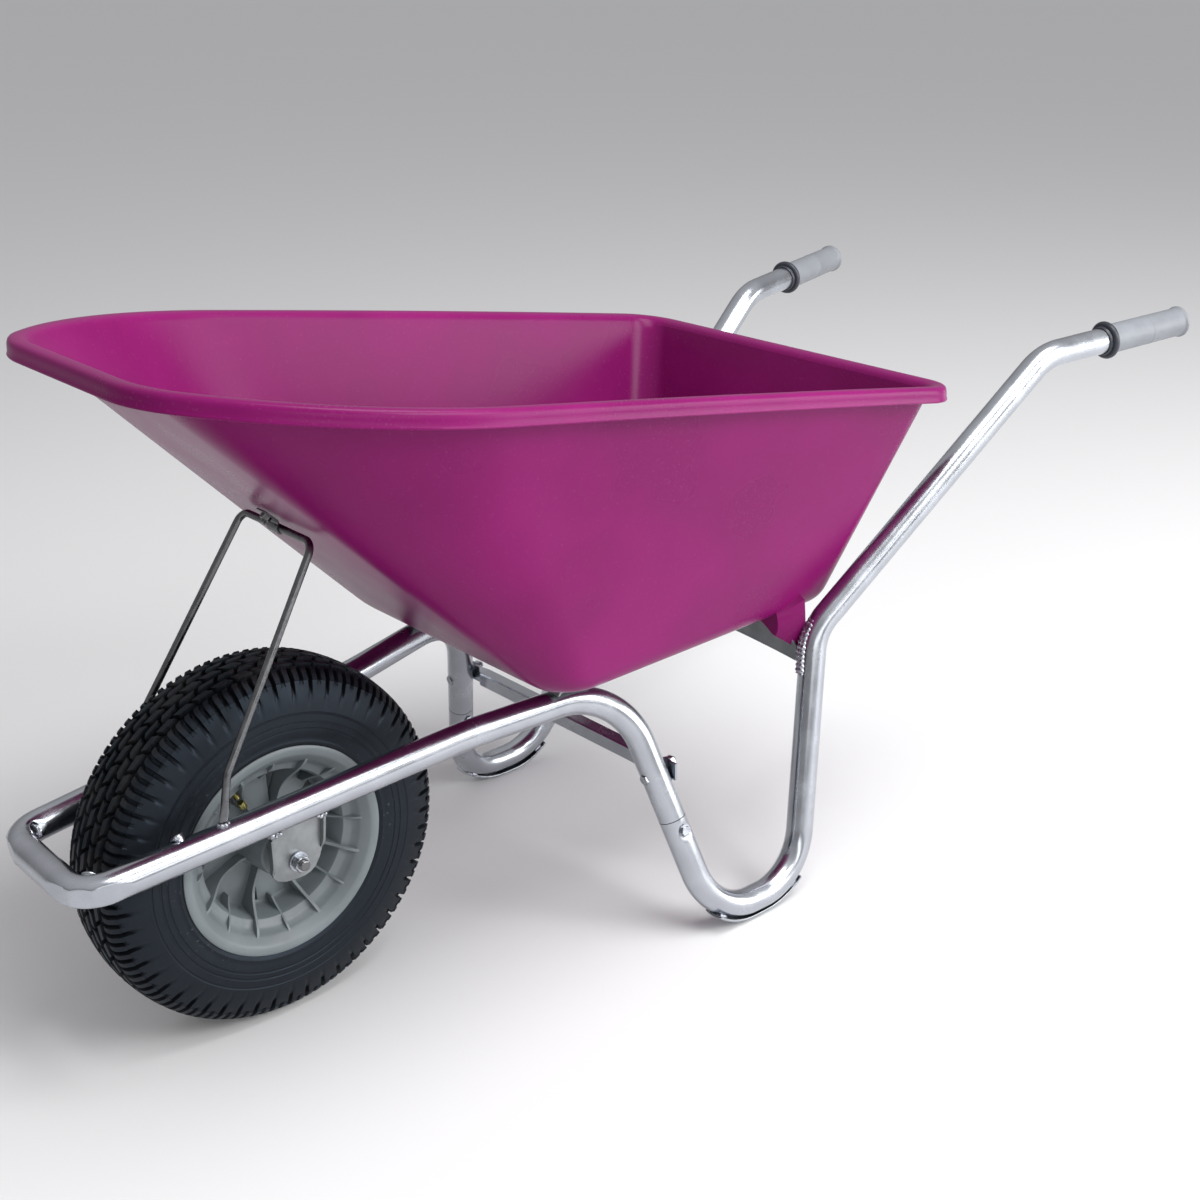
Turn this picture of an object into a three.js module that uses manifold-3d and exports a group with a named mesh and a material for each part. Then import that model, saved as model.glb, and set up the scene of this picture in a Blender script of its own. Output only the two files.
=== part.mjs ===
// Garden wheelbarrow: a moulded plastic tray on a bent steel tube frame, with one pneumatic wheel.
// Millimetres, +Z up. The wheel points to -X and the handles to +X; -Y is the user's left side.
import * as THREE from "three";
import { mergeVertices } from "three/addons/utils/BufferGeometryUtils.js";
import Module from "manifold-3d";

const wasm = await Module();
wasm.setup();

const { cos, sin, tan, max, min, round, PI } = Math;
const V = (x, y, z) => new THREE.Vector3(x, y, z);
const SIDES = { left: -1, right: 1 };

// ---- Driving dimensions ----

const GAP = 0.3; // between faces that rest on each other

// Frame tube: its centreline on one side, from the front loop to the handle end
const TUBE_R = 16;
const TUBE_WALL = 2;
const TUBE_FACETS = 10;
const FRONT_CORNER = V(-715, 78, 252);
const RAIL_BEND = V(-285, 109, 289);
const LEG_TOP = V(-104, 146, 305);
const LEG_FRONT = V(-44, 240, 19.5);
const LEG_REAR = V(93, 243, 19.5);
const HANDLE_FOOT = V(161, 198, 308);
const HANDLE_BEND = V(502, 251, 588);
const HANDLE_END = V(722.5, 294, 601.5);
const BEND_R = { frontCorner: 34, rail: 300, legTop: 92, leg: 75, handleFoot: 65, handle: 75 };
const SPLICE_AT = 0.56; // of the way down the front leg arm

// Leg brace, between the front leg arms, and its bolts
const BRACE = { at: 0.375, size: 18, tabThick: 3, tabLength: 34, boltR: 4 };

// Tray: the crest of its rim, seen from above, and the height of that crest along X. Each front corner is a
// tight bend that ends the front panel, and then a wide one that runs into the side.
const RIM = { front: -627, rear: 321, halfFront: 279, halfRear: 261, tight: 100, wide: 352, back: 48 };
const FRONT_TURN = (42 * PI) / 180; // of the tight bend
const rimHeight = (x) => 639.6 - 0.163 * x - 12.5e-6 * x * x;
const LIP = { inboard: 10, outboard: 8, drop: 18 }; // from the crest in to the wall, out, and down
const WALL = 4;
const FLOOR = { front: -209, rear: 219, halfFront: 184, halfRear: 170, tight: 12, wide: 22, back: 34 };
const FLOOR_Z = 321.5; // underside
const FOLD = 32; // reach of the rounded fold between floor and walls
const UNDER_LIP = 4; // from the crest down to where the lip leaves the wall
const FOOT = { x: 128, thick: 9 }; // moulded foot in front of each rear tube

// Wheel
const AXLE = V(-483, 0, 200);
const AXLE_R = 6;
const RUNNING_GAP = 0.1; // between the axle and the bearings
const AXLE_HALF = 92;
const HUB = { r: 24, half: 52, seatR: 15, seatDepth: 14 };
const RIM_FLANGE_R = 117;
const WINDOWS = 8;
const RIB_THICK = 2.6;
const TYRE_R = 200;
const TYRE_HALF = 54;
const VALVE = { turn: (28 * PI) / 180, y: -25, r: 3.4 };
const WHEEL_FACETS = 30;
const PLATE_Y = 74; // inner face of the axle brackets, from the middle

// Stay: the bent rod in front of the tray
const STAY_R = 4;
const STAY_FOOT = V(-568, 89, 282);
const STAY_KNEE = V(-558, 88, 331);
const STAY_TOP = V(-429.5, 66.8, 531.4);

// Handles
const GRIP = { r: 18, endR: 19.2, length: 124, closed: 4 };
const COLLAR = { r: 23, thick: 8 };

// ---- Materials ----

const finish = (color, roughness, metalness) => ({ color, roughness, metalness });
const PURPLE = finish(0x9c2f84, 0.32, 0);
const ZINC = finish(0xc9ccd0, 0.22, 1);
const STEEL = finish(0xb4b8bc, 0.35, 1);
const GREY_PLASTIC = finish(0x8f9699, 0.5, 0);
const GRIP_PLASTIC = finish(0x8d9094, 0.6, 0);
const DARK_PLASTIC = finish(0x3a3d42, 0.6, 0);
const RUBBER = finish(0x1b1d20, 0.75, 0);
const BRASS = finish(0xa88a3c, 0.35, 1);

// ---- Solids ----

const root = new THREE.Group();

function solidOf(geometry) {
  const bare = geometry.clone();
  bare.deleteAttribute("normal");
  bare.deleteAttribute("uv");
  const merged = mergeVertices(bare, 1e-4);
  const mesh = new wasm.Mesh({
    numProp: 3,
    vertProperties: new Float32Array(merged.attributes.position.array),
    triVerts: new Uint32Array(merged.index.array),
  });
  return new wasm.Manifold(mesh);
}

function geometryOf(solid) {
  const mesh = solid.getMesh();
  const geometry = new THREE.BufferGeometry();
  geometry.setAttribute("position", new THREE.BufferAttribute(new Float32Array(mesh.vertProperties), 3));
  geometry.setIndex(new THREE.BufferAttribute(new Uint32Array(mesh.triVerts), 1));
  geometry.computeVertexNormals();
  return geometry;
}

function add(name, shape, look) {
  const geometry = shape.isBufferGeometry ? shape : geometryOf(shape);
  const mesh = new THREE.Mesh(geometry, new THREE.MeshStandardMaterial(look));
  mesh.name = name;
  root.add(mesh);
}

const joined = (...shapes) => shapes.map(solidOf).reduce((a, b) => a.add(b));
const cut = (solid, ...shapes) => shapes.map(solidOf).reduce((a, b) => a.subtract(b), solid);

// Turns a geometry made along +Y so that it runs along direction, and moves it to start at base.
function along(geometry, base, direction) {
  const turn = new THREE.Quaternion().setFromUnitVectors(V(0, 1, 0), direction.clone().normalize());
  return geometry.applyQuaternion(turn).translate(base.x, base.y, base.z);
}

function rod(r, length, facets = 10) {
  return new THREE.CylinderGeometry(r, r, length, facets).translate(0, length / 2, 0);
}

// The corner radius of a faceted bore whose flats clear a shaft of radius r
const clear = (r, facets, gap = GAP) => (r + gap) / cos(PI / facets);
const bore = (r, length, facets = 8) => rod(clear(r, facets), length, facets);

function ring(outer, shaft, length, facets = 12, gap = GAP) {
  const inner = clear(shaft, facets, gap);
  const profile = [[inner, 0], [outer, 0], [outer, length], [inner, length], [inner, 0]];
  return new THREE.LatheGeometry(profile.map(([r, y]) => new THREE.Vector2(r, y)), facets);
}

function box(low, high) {
  const size = high.clone().sub(low);
  const middle = low.clone().add(high).multiplyScalar(0.5);
  return new THREE.BoxGeometry(size.x, size.y, size.z).translate(middle.x, middle.y, middle.z);
}

// An outline in the XZ plane, extruded along Y from y0 to y1.
function slab(points, y0, y1) {
  const shape = new THREE.Shape(points.map(([x, z]) => new THREE.Vector2(x, z)));
  const plate = new THREE.ExtrudeGeometry(shape, { depth: y1 - y0, bevelEnabled: false });
  return plate.rotateX(PI / 2).translate(0, y1, 0);
}

// An outline in the YZ plane, extruded along X from x0 to x1.
function bulkhead(points, x0, x1) {
  const shape = new THREE.Shape(points.map(([y, z]) => new THREE.Vector2(y, z)));
  const plate = new THREE.ExtrudeGeometry(shape, { depth: x1 - x0, bevelEnabled: false });
  return plate.rotateZ(PI / 2).rotateY(PI / 2).translate(x0, 0, 0);
}

// A hexagon-headed bolt or a nut with a washer face; base is under the head, direction points out of it.
function bolt(base, direction, headR, headHeight, shankR, shankLength) {
  const head = along(rod(headR, headHeight, 6), base, direction);
  const shankBase = base.clone().addScaledVector(direction, -shankLength);
  const shank = along(rod(shankR, shankLength + 1, 8), shankBase, direction);
  return joined(head, shank);
}

function nut(base, direction, r, height, boltR) {
  return cut(solidOf(along(rod(r, height, 6), base, direction)),
    along(bore(boltR, height + 2), base.clone().addScaledVector(direction, -1), direction));
}

// ---- Bent tubes ----

// A path of straight runs joined by circular bends. It is sampled at the ends of each run and
// every few degrees round each bend, and getPointAt steps from sample to sample.
class BentPath extends THREE.Curve {
  constructor(corners, radii, bendStep = PI / 10) {
    super();
    this.samples = [];
    const heading = corners.slice(1).map((p, i) => p.clone().sub(corners[i]).normalize());
    this.samples.push({ p: corners[0], t: heading[0] });
    for (let i = 1; i < corners.length - 1; i++) {
      this.addBend(corners[i], heading[i - 1], heading[i], radii[i - 1], bendStep);
    }
    this.samples.push({ p: corners.at(-1), t: heading.at(-1) });
  }

  addBend(corner, into, out, radius, bendStep) {
    const angle = into.angleTo(out);
    const towards = out.clone().addScaledVector(into, -into.dot(out)).normalize();
    const start = corner.clone().addScaledVector(into, -radius * tan(angle / 2));
    const centre = start.clone().addScaledVector(towards, radius);
    const steps = max(2, round(angle / bendStep));
    for (let k = 0; k <= steps; k++) {
      const a = (angle * k) / steps;
      this.samples.push({
        p: centre.clone().addScaledVector(towards, -radius * cos(a)).addScaledVector(into, radius * sin(a)),
        t: into.clone().multiplyScalar(cos(a)).addScaledVector(towards, sin(a)),
      });
    }
  }

  getPoint(u, target = new THREE.Vector3()) {
    const at = u * (this.samples.length - 1);
    const i = min(Math.floor(at + 1e-6), this.samples.length - 2);
    return target.lerpVectors(this.samples[i].p, this.samples[i + 1].p, max(0, at - i));
  }

  getPointAt(u, target) {
    return this.getPoint(u, target);
  }

  getTangentAt(u, target = new THREE.Vector3()) {
    return target.copy(this.samples[round(u * (this.samples.length - 1))].t);
  }
}

function sweep(path, outer, inner, facets) {
  const shape = new THREE.Shape().absarc(0, 0, outer, 0, 2 * PI);
  if (inner) shape.holes.push(new THREE.Path().absarc(0, 0, inner, 0, 2 * PI, true));
  return new THREE.ExtrudeGeometry(shape, {
    steps: path.samples.length - 1,
    curveSegments: facets / 2,
    extrudePath: path,
  });
}

const onSide = (p, side) => V(p.x, p.y * side, p.z);
const splicePoint = (side, fraction = SPLICE_AT) => onSide(LEG_TOP.clone().lerp(LEG_FRONT, fraction), side);

function frontFrameTube() {
  const oneSide = [LEG_TOP, RAIL_BEND, FRONT_CORNER];
  const radii = [BEND_R.legTop, BEND_R.rail, BEND_R.frontCorner];
  const corners = [
    splicePoint(1),
    ...oneSide.map((p) => onSide(p, 1)),
    ...oneSide.map((p) => onSide(p, -1)).reverse(),
    splicePoint(-1),
  ];
  return new BentPath(corners, [...radii, ...[...radii].reverse()]);
}

function rearFrameTube(side) {
  const joint = 0.002; // the tubes meet at the splice with a hairline between them
  const points = [LEG_FRONT, LEG_REAR, HANDLE_FOOT, HANDLE_BEND, HANDLE_END];
  const corners = [splicePoint(side, SPLICE_AT + joint), ...points.map((p) => onSide(p, side))];
  return new BentPath(corners, [BEND_R.leg, BEND_R.leg, BEND_R.handleFoot, BEND_R.handle]);
}

// The direction across the front leg arm, outwards on the given side and square to the tube.
function acrossLegArm(side) {
  const arm = onSide(LEG_FRONT.clone().sub(LEG_TOP).normalize(), side);
  return V(0, side, 0).addScaledVector(arm, -side * arm.y).normalize();
}

// The direction behind the front leg arm, square to the tube, on which the brace tab lies.
function behindLegArm(side) {
  const arm = onSide(LEG_FRONT.clone().sub(LEG_TOP).normalize(), side);
  return V(1, 0, 0).addScaledVector(arm, -arm.x).normalize();
}

const frontPath = frontFrameTube();
const spliceBoltAt = (side) => splicePoint(side, SPLICE_AT + 0.055);
const SPLICE_BOLT_R = 3;

function addFrameTubes() {
  const inner = TUBE_R - TUBE_WALL;
  let front = solidOf(sweep(frontPath, TUBE_R, inner, TUBE_FACETS));
  for (const side of Object.values(SIDES)) {
    const bracePoint = splicePoint(side, BRACE.at);
    const behind = behindLegArm(side);
    front = cut(front, along(bore(BRACE.boltR, 80), bracePoint.clone().addScaledVector(behind, -40), behind));
  }
  add("front_frame_tube", front, ZINC);
  for (const [name, side] of Object.entries(SIDES)) {
    const across = acrossLegArm(side);
    const hole = along(bore(SPLICE_BOLT_R, 60), spliceBoltAt(side).addScaledVector(across, -30), across);
    const path = rearFrameTube(side);
    add("rear_frame_tube_" + name, cut(solidOf(sweep(path, TUBE_R, inner, TUBE_FACETS)), hole), ZINC);
    addSplice(name, side, inner, hole);
    addLegSkid(name, path);
  }
}

// The sleeve inside the two tube ends, and the bolt that holds it
function addSplice(name, side, inner, hole) {
  const reach = 0.13;
  const start = splicePoint(side, SPLICE_AT - reach);
  const end = splicePoint(side, SPLICE_AT + reach);
  const length = start.distanceTo(end);
  // the faceted tube's bore is narrowest at the middle of its facets
  const outer = (inner - GAP) * cos(PI / TUBE_FACETS);
  const sleeve = along(ring(outer, outer - 2.5, length), start, end.clone().sub(start));
  add("splice_sleeve_" + name, cut(solidOf(sleeve), hole), STEEL);
  const across = acrossLegArm(side);
  const surface = TUBE_R + GAP;
  const head = spliceBoltAt(side).addScaledVector(across, surface);
  add("splice_bolt_" + name, bolt(head, across, 6.5, 4, SPLICE_BOLT_R, 2 * surface + 8), STEEL);
  const far = spliceBoltAt(side).addScaledVector(across, -surface);
  add("splice_nut_" + name, nut(far, across.clone().negate(), 6.5, 5, SPLICE_BOLT_R), STEEL);
}

// The wear strip under the leg bend: a band that follows the tube, with a flat foot
function addLegSkid(name, path) {
  const thick = 3.2;
  const half = 13;
  const highest = 38;
  const bend = path.samples.filter(({ p }) => p.z < highest);
  const offset = (distance) => bend.map(({ p, t }) => {
    const flat = new THREE.Vector2(t.z, -t.x).normalize();
    return [p.x + flat.x * distance, p.z + flat.y * distance];
  });
  const near = TUBE_R + GAP;
  const outline = [...offset(near), ...offset(near + thick).reverse()];
  const y = bend.reduce((sum, { p }) => sum + p.y, 0) / bend.length;
  add("leg_skid_" + name, slab(outline, y - half, y + half), ZINC);
}

// The brace: a square tube pressed flat at its ends into tabs bolted behind the leg arms
function addLegBrace() {
  const centre = splicePoint(1, BRACE.at);
  const half = BRACE.size / 2;
  const insideTubes = centre.y - TUBE_R - 16;
  const lean = (LEG_FRONT.x - LEG_TOP.x) / (LEG_TOP.z - LEG_FRONT.z);
  const tabX = centre.x + TUBE_R * 1.03 + lean * half + GAP; // clear of the leaning arm's rear

  const [low, high] = [centre.z - half, centre.z + half];
  const bar = box(V(tabX - half, -insideTubes, low), V(tabX + half, insideTubes, high));
  const tabEnd = centre.y + BRACE.tabLength / 2 - 2;
  const tab = box(V(tabX, -tabEnd, low), V(tabX + BRACE.tabThick, tabEnd, high));
  let brace = joined(bar, tab);
  for (const [name, side] of Object.entries(SIDES)) {
    const point = splicePoint(side, BRACE.at);
    const behind = behindLegArm(side);
    const start = point.clone().addScaledVector(behind, -TUBE_R - GAP);
    brace = cut(brace, along(bore(BRACE.boltR, 60), start, behind));
    const shankLength = 2 * TUBE_R + 15;
    add("brace_bolt_" + name, bolt(start, behind.clone().negate(), 6.5, 4, BRACE.boltR, shankLength), STEEL);
    const seat = point.clone().addScaledVector(behind, tabX - centre.x + BRACE.tabThick + lean * half);
    add("brace_nut_" + name, nut(seat, behind, 7, 6.5, BRACE.boltR), STEEL);
  }
  add("leg_brace", brace, ZINC);
}

// ---- Tray ----

const TIGHT_STEPS = 3;
const WIDE_STEPS = 5;
const BACK_STEPS = 6;
const SIDE_STEPS = 3;
const LEAST_RADIUS = 3;
const evenly = (distance) => ({ front: distance, rear: distance, side: distance });

// A trapezoid with rounded corners, seen from above, clockwise from the front middle.
// Each point carries its outward normal. inset moves the front, rear and sides inwards.
function outline(spec, inset = evenly(0)) {
  const front = spec.front + inset.front;
  const rear = spec.rear - inset.rear;
  const [tight, wide, back] = [spec.tight, spec.wide, spec.back].map((r) => max(r - inset.side, LEAST_RADIUS));
  const slope = (spec.halfRear - spec.halfFront) / (spec.rear - spec.front);
  const sideAt = (x) => spec.halfFront - inset.side + slope * (x - spec.front);
  const sideTurn = PI / 2 - Math.atan(slope); // from the front's normal to the side's
  const half = [{ x: front, y: 0, nx: -1, ny: 0 }];
  const arc = (cx, cy, r, from, to, steps, first = 0) => {
    for (let i = first; i <= steps; i++) {
      const a = from + ((to - from) * i) / steps;
      half.push({ x: cx - r * cos(a), y: cy + r * sin(a), nx: -cos(a), ny: sin(a) });
    }
  };
  const wideEnd = front + tight * (1 - cos(FRONT_TURN)) + wide * (cos(FRONT_TURN) - cos(sideTurn));
  const flatHalf = sideAt(wideEnd) - tight * sin(FRONT_TURN) - wide * (sin(sideTurn) - sin(FRONT_TURN));
  const gain = wide - tight;
  arc(front + tight, flatHalf, tight, 0, FRONT_TURN, TIGHT_STEPS);
  arc(front + tight + gain * cos(FRONT_TURN), flatHalf - gain * sin(FRONT_TURN), wide, FRONT_TURN, sideTurn,
    WIDE_STEPS, 1);
  const backStart = rear - back * (1 + cos(sideTurn));
  const sideStart = half.at(-1);
  for (let i = 1; i < SIDE_STEPS; i++) {
    const x = sideStart.x + ((backStart - sideStart.x) * i) / SIDE_STEPS;
    half.push({ ...sideStart, x, y: sideAt(x) });
  }
  arc(rear - back, sideAt(backStart) - back * sin(sideTurn), back, sideTurn, PI, BACK_STEPS);
  half.push({ x: rear, y: 0, nx: 1, ny: 0 });
  const other = half.slice(1, -1).reverse().map((p) => ({ ...p, y: -p.y, ny: -p.ny }));
  return [...half, ...other];
}

const mix = (a, b, f) => a.map((p, i) => p.clone().lerp(b[i], f));
const quadratic = (a, b, c, f) => mix(mix(a, b, f), mix(b, c, f), f);

// One face of the shell, from the ring at the floor's edge up to the ring under the rim. A rounded fold
// joins the floor and the walls, which are straight from the floor's outline to the rim's.
function wallRings(inset, z, topInset, topDrop) {
  const corner = outline(FLOOR, inset).map((p) => V(p.x, p.y, z));
  const foldInset = { front: FOLD + inset.front, rear: FOLD + inset.rear, side: FOLD + inset.side };
  const onFloor = outline(FLOOR, foldInset).map((p) => V(p.x, p.y, z));
  const top = outline(RIM, topInset).map((p) => V(p.x, p.y, rimHeight(p.x) - topDrop));
  const foldTop = corner.map((p, i) => p.clone().lerp(top[i], (FOLD * 1.1) / p.distanceTo(top[i])));
  const rings = [0, 0.3, 0.6, 1].map((f) => quadratic(onFloor, corner, foldTop, f));
  for (const f of [0.3, 0.65, 1]) rings.push(mix(foldTop, top, f));
  return rings;
}

// The lip: rings that run over the crest and down its outside, offset along the rim's normals
function lipRings() {
  const rim = outline(RIM);
  const section = [
    [LIP.outboard - WALL, -UNDER_LIP - 1], [LIP.outboard - WALL, -LIP.drop], [LIP.outboard, -LIP.drop],
    [LIP.outboard, -4], [LIP.outboard - 4, -0.6], [-2, 0], [-LIP.inboard, -1.5],
  ];
  const offset = (p, out, up) => V(p.x + p.nx * out, p.y + p.ny * out, rimHeight(p.x) + up);
  return section.map(([out, up]) => rim.map((p) => offset(p, out, up)));
}

// Joins rings into a closed skin, with a fan at each end. Rings run clockwise seen from above.
function skin(rings) {
  const n = rings[0].length;
  const position = rings.flat().flatMap((p) => [p.x, p.y, p.z]);
  const index = [];
  for (let j = 0; j < rings.length - 1; j++) {
    for (let i = 0; i < n; i++) {
      const a = j * n + i;
      const b = j * n + ((i + 1) % n);
      index.push(a, b + n, b, a, a + n, b + n);
    }
  }
  [0, rings.length - 1].forEach((j, end) => {
    const centre = rings[j].reduce((sum, p) => sum.add(p), V(0, 0, 0)).multiplyScalar(1 / n);
    const hub = position.length / 3;
    position.push(centre.x, centre.y, centre.z);
    for (let i = 0; i < n; i++) {
      const a = j * n + i;
      const b = j * n + ((i + 1) % n);
      index.push(...(end ? [b, a, hub] : [a, b, hub]));
    }
  });
  const geometry = new THREE.BufferGeometry();
  geometry.setAttribute("position", new THREE.Float32BufferAttribute(position, 3));
  geometry.setIndex(index);
  return geometry;
}

// The foot at each rear corner, which hangs in front of the tube
function trayFoot(side) {
  const points = [
    [140, FLOOR_Z + 2], [160, FLOOR_Z + 22], [203, 345], [214, 332], [207, 294], [196, 296], [180, 309],
  ];
  const outlineYZ = points.map(([y, z]) => [y * side, z]);
  return bulkhead(side < 0 ? outlineYZ.reverse() : outlineYZ, FOOT.x, FOOT.x + FOOT.thick);
}

const TRAY_BOLT_R = 4;
const STAY_BOLT_R = 3;
const FRONT_BOLT = V(-160, 128, 0);
const REAR_BOLT = V(132, 96, 0);
const wallTop = { x: RIM.front + LIP.inboard, z: rimHeight(RIM.front + LIP.inboard) - UNDER_LIP };
const panelSlope = Math.atan2(wallTop.z - FLOOR_Z, FLOOR.front - wallTop.x);
const panelOut = V(-sin(panelSlope), 0, -cos(panelSlope)); // outward normal of the front panel

const uphill = V(-cos(panelSlope), 0, sin(panelSlope)); // up the front panel

// The point on the front panel's outer face nearest to the stay's cross part, and the bolt above it
function panelPoint() {
  const rodLine = V(STAY_TOP.x, 0, STAY_TOP.z);
  return rodLine.clone().addScaledVector(panelOut, V(FLOOR.front, 0, FLOOR_Z).sub(rodLine).dot(panelOut));
}
const stayBoltPoint = () => panelPoint().addScaledVector(uphill, 17);

const drill = (at) => bore(TRAY_BOLT_R, 40).rotateX(PI / 2).translate(at.x, at.y, FLOOR_Z - 20);

function addTray() {
  // a wall of even thickness, measured level, is thicker where the wall slopes more
  const level = { front: WALL / sin(panelSlope), rear: WALL * 1.07, side: WALL * 1.07 };
  const lip = LIP.inboard;
  const atRim = { front: lip + level.front, rear: lip + level.rear, side: lip + level.side };
  const outer = wallRings(evenly(0), FLOOR_Z, evenly(LIP.inboard), UNDER_LIP);
  const atFloor = { front: WALL * tan(panelSlope / 2), rear: WALL * 0.7, side: WALL * 0.7 };
  const inner = wallRings(atFloor, FLOOR_Z + WALL, atRim, UNDER_LIP + 1).reverse();
  let tray = solidOf(skin([...outer, ...lipRings(), ...inner]));
  for (const side of Object.values(SIDES)) {
    tray = tray.add(solidOf(trayFoot(side)));
    tray = cut(tray, drill(onSide(FRONT_BOLT, side)), drill(onSide(REAR_BOLT, side)));
  }
  tray = cut(tray, along(bore(STAY_BOLT_R, 40), stayBoltPoint().addScaledVector(panelOut, -20), panelOut));
  add("tray", tray, PURPLE);
}

// ---- Tray supports ----

// The plate welded between the rear tubes, with a flange along its top that the tray is bolted to
function addRearCrossPlate() {
  const face = FOOT.x + FOOT.thick + GAP;
  const thick = 2.5;
  const top = FLOOR_Z - GAP;
  const end = 181;
  const lower = new THREE.QuadraticBezierCurve(
    new THREE.Vector2(-end, 272), new THREE.Vector2(0, 292), new THREE.Vector2(end, 272)).getPoints(10);
  const shoulder = [[end, 286], [160, 310], [146, top]];
  const otherShoulder = shoulder.map(([y, z]) => [-y, z]).reverse();
  const points = [...lower.map((p) => [p.x, p.y]), ...shoulder, ...otherShoulder];
  const web = bulkhead(points, face + 2, face + 2 + thick);
  const flange = box(V(face - 26, -135, top - thick), V(face + 3, 135, top));
  let plate = joined(web, flange);
  for (const side of Object.values(SIDES)) plate = cut(plate, drill(onSide(REAR_BOLT, side)));
  add("rear_cross_plate", plate, ZINC);
}

// A strap on top of each rail, under the front of the tray's floor
function addTrayBrackets() {
  for (const [name, side] of Object.entries(SIDES)) {
    const low = onSide(V(FRONT_BOLT.x - 24, 0, FLOOR_Z - GAP - 3), side);
    const y0 = side * (FRONT_BOLT.y - 17);
    const y1 = side * (FRONT_BOLT.y + 19);
    const strap = box(V(low.x, min(y0, y1), low.z), V(low.x + 46, max(y0, y1), low.z + 3));
    add("tray_bracket_" + name, cut(solidOf(strap), drill(onSide(FRONT_BOLT, side))), STEEL);
  }
}

function addTrayBolts() {
  for (const [name, side] of Object.entries(SIDES)) {
    for (const [where, at, under] of [["rear", REAR_BOLT, 3], ["front", FRONT_BOLT, 3.6]]) {
      const head = V(at.x, at.y * side, FLOOR_Z + WALL + GAP);
      const shank = where === "rear" ? 18 : 10;
      add(`tray_bolt_${where}_${name}`, bolt(head, V(0, 0, 1), 9, 3.5, TRAY_BOLT_R, shank), STEEL);
      if (where === "rear") {
        const seat = V(at.x, at.y * side, FLOOR_Z - GAP - under);
        add(`tray_nut_${where}_${name}`, nut(seat, V(0, 0, -1), 7, 6, TRAY_BOLT_R), STEEL);
      }
    }
  }
}

// ---- Stay ----

function addStay() {
  const oneSide = [STAY_FOOT, STAY_KNEE, STAY_TOP];
  const corners = [...oneSide, ...oneSide.map((p) => onSide(p, -1)).reverse()];
  const path = new BentPath(corners, [20, 14, 14, 20], PI / 8);
  add("stay_rod", sweep(path, STAY_R, 0, 8), STEEL);

  const point = panelPoint();
  const thick = 2;
  const rodGap = STAY_TOP.clone().setY(0).distanceTo(point) + STAY_R + GAP;
  // the clip: a strap bent over the rod, with its foot on the tray
  const half = 9;
  const at = (up, out) => {
    const p = point.clone().addScaledVector(uphill, up).addScaledVector(panelOut, out);
    return [p.x, p.z];
  };
  const over = STAY_R + GAP;
  const section = [at(-over - thick, GAP), at(-over, GAP), at(-over, rodGap), at(over, rodGap), at(over, GAP),
    at(26, GAP), at(26, GAP + thick), at(over + thick, GAP + thick), at(over + thick, rodGap + thick),
    at(-over - thick, rodGap + thick)];
  const hole = along(bore(STAY_BOLT_R, 30), stayBoltPoint().addScaledVector(panelOut, -15), panelOut);
  add("stay_clip", cut(solidOf(slab(section, -half, half)), hole), STEEL);
  const outside = stayBoltPoint().addScaledVector(panelOut, thick + 2 * GAP);
  const inside = stayBoltPoint().addScaledVector(panelOut, -WALL - GAP);
  add("stay_nut", nut(outside, panelOut, 6, 5, STAY_BOLT_R), STEEL);
  add("stay_bolt", bolt(inside, panelOut.clone().negate(), 7, 3, STAY_BOLT_R, 16), STEEL);
}

// ---- Handles ----

function addHandles() {
  for (const [name, side] of Object.entries(SIDES)) {
    const end = onSide(HANDLE_END, side);
    const heading = end.clone().sub(onSide(HANDLE_BEND, side)).normalize();
    const tip = end.clone().addScaledVector(heading, 1 + GRIP.closed);
    const facets = 16;
    const inner = clear(TUBE_R, facets);
    const profile = [
      [0, 0], [GRIP.endR, 0], [GRIP.endR, 7], [GRIP.r, 9], [GRIP.r, GRIP.length], [inner, GRIP.length],
      [inner, GRIP.closed], [0, GRIP.closed],
    ];
    const sleeve = new THREE.LatheGeometry(profile.map(([r, y]) => new THREE.Vector2(r, y)), facets);
    const back = heading.clone().negate();
    add("grip_" + name, along(sleeve, tip, back), GRIP_PLASTIC);
    const seat = tip.clone().addScaledVector(back, GRIP.length + GAP);
    add("grip_collar_" + name, along(ring(COLLAR.r, TUBE_R, COLLAR.thick, 16), seat, back), DARK_PLASTIC);
  }
}

// ---- Wheel ----

const aboutAxle = (geometry) => geometry.translate(AXLE.x, AXLE.y, AXLE.z);
const mirrored = (half) => [...half, ...half.map(([r, y]) => [r, -y]).reverse()];

// A closed profile of radius and width, turned about the axle
function lathe(points, facets) {
  const profile = points.map(([r, y]) => new THREE.Vector2(r, y));
  if (THREE.ShapeUtils.isClockWise(profile)) profile.reverse();
  return aboutAxle(new THREE.LatheGeometry([...profile, profile[0]], facets));
}

// A radial rib in the wheel: its outline in radius and width, spun to an angle round the axle
function rib(points, angle) {
  const shape = new THREE.Shape(points.map(([r, y]) => new THREE.Vector2(r, y)));
  const plate = new THREE.ExtrudeGeometry(shape, { depth: RIB_THICK, bevelEnabled: false });
  return aboutAxle(plate.translate(0, 0, -RIB_THICK / 2).rotateY(angle));
}

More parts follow.
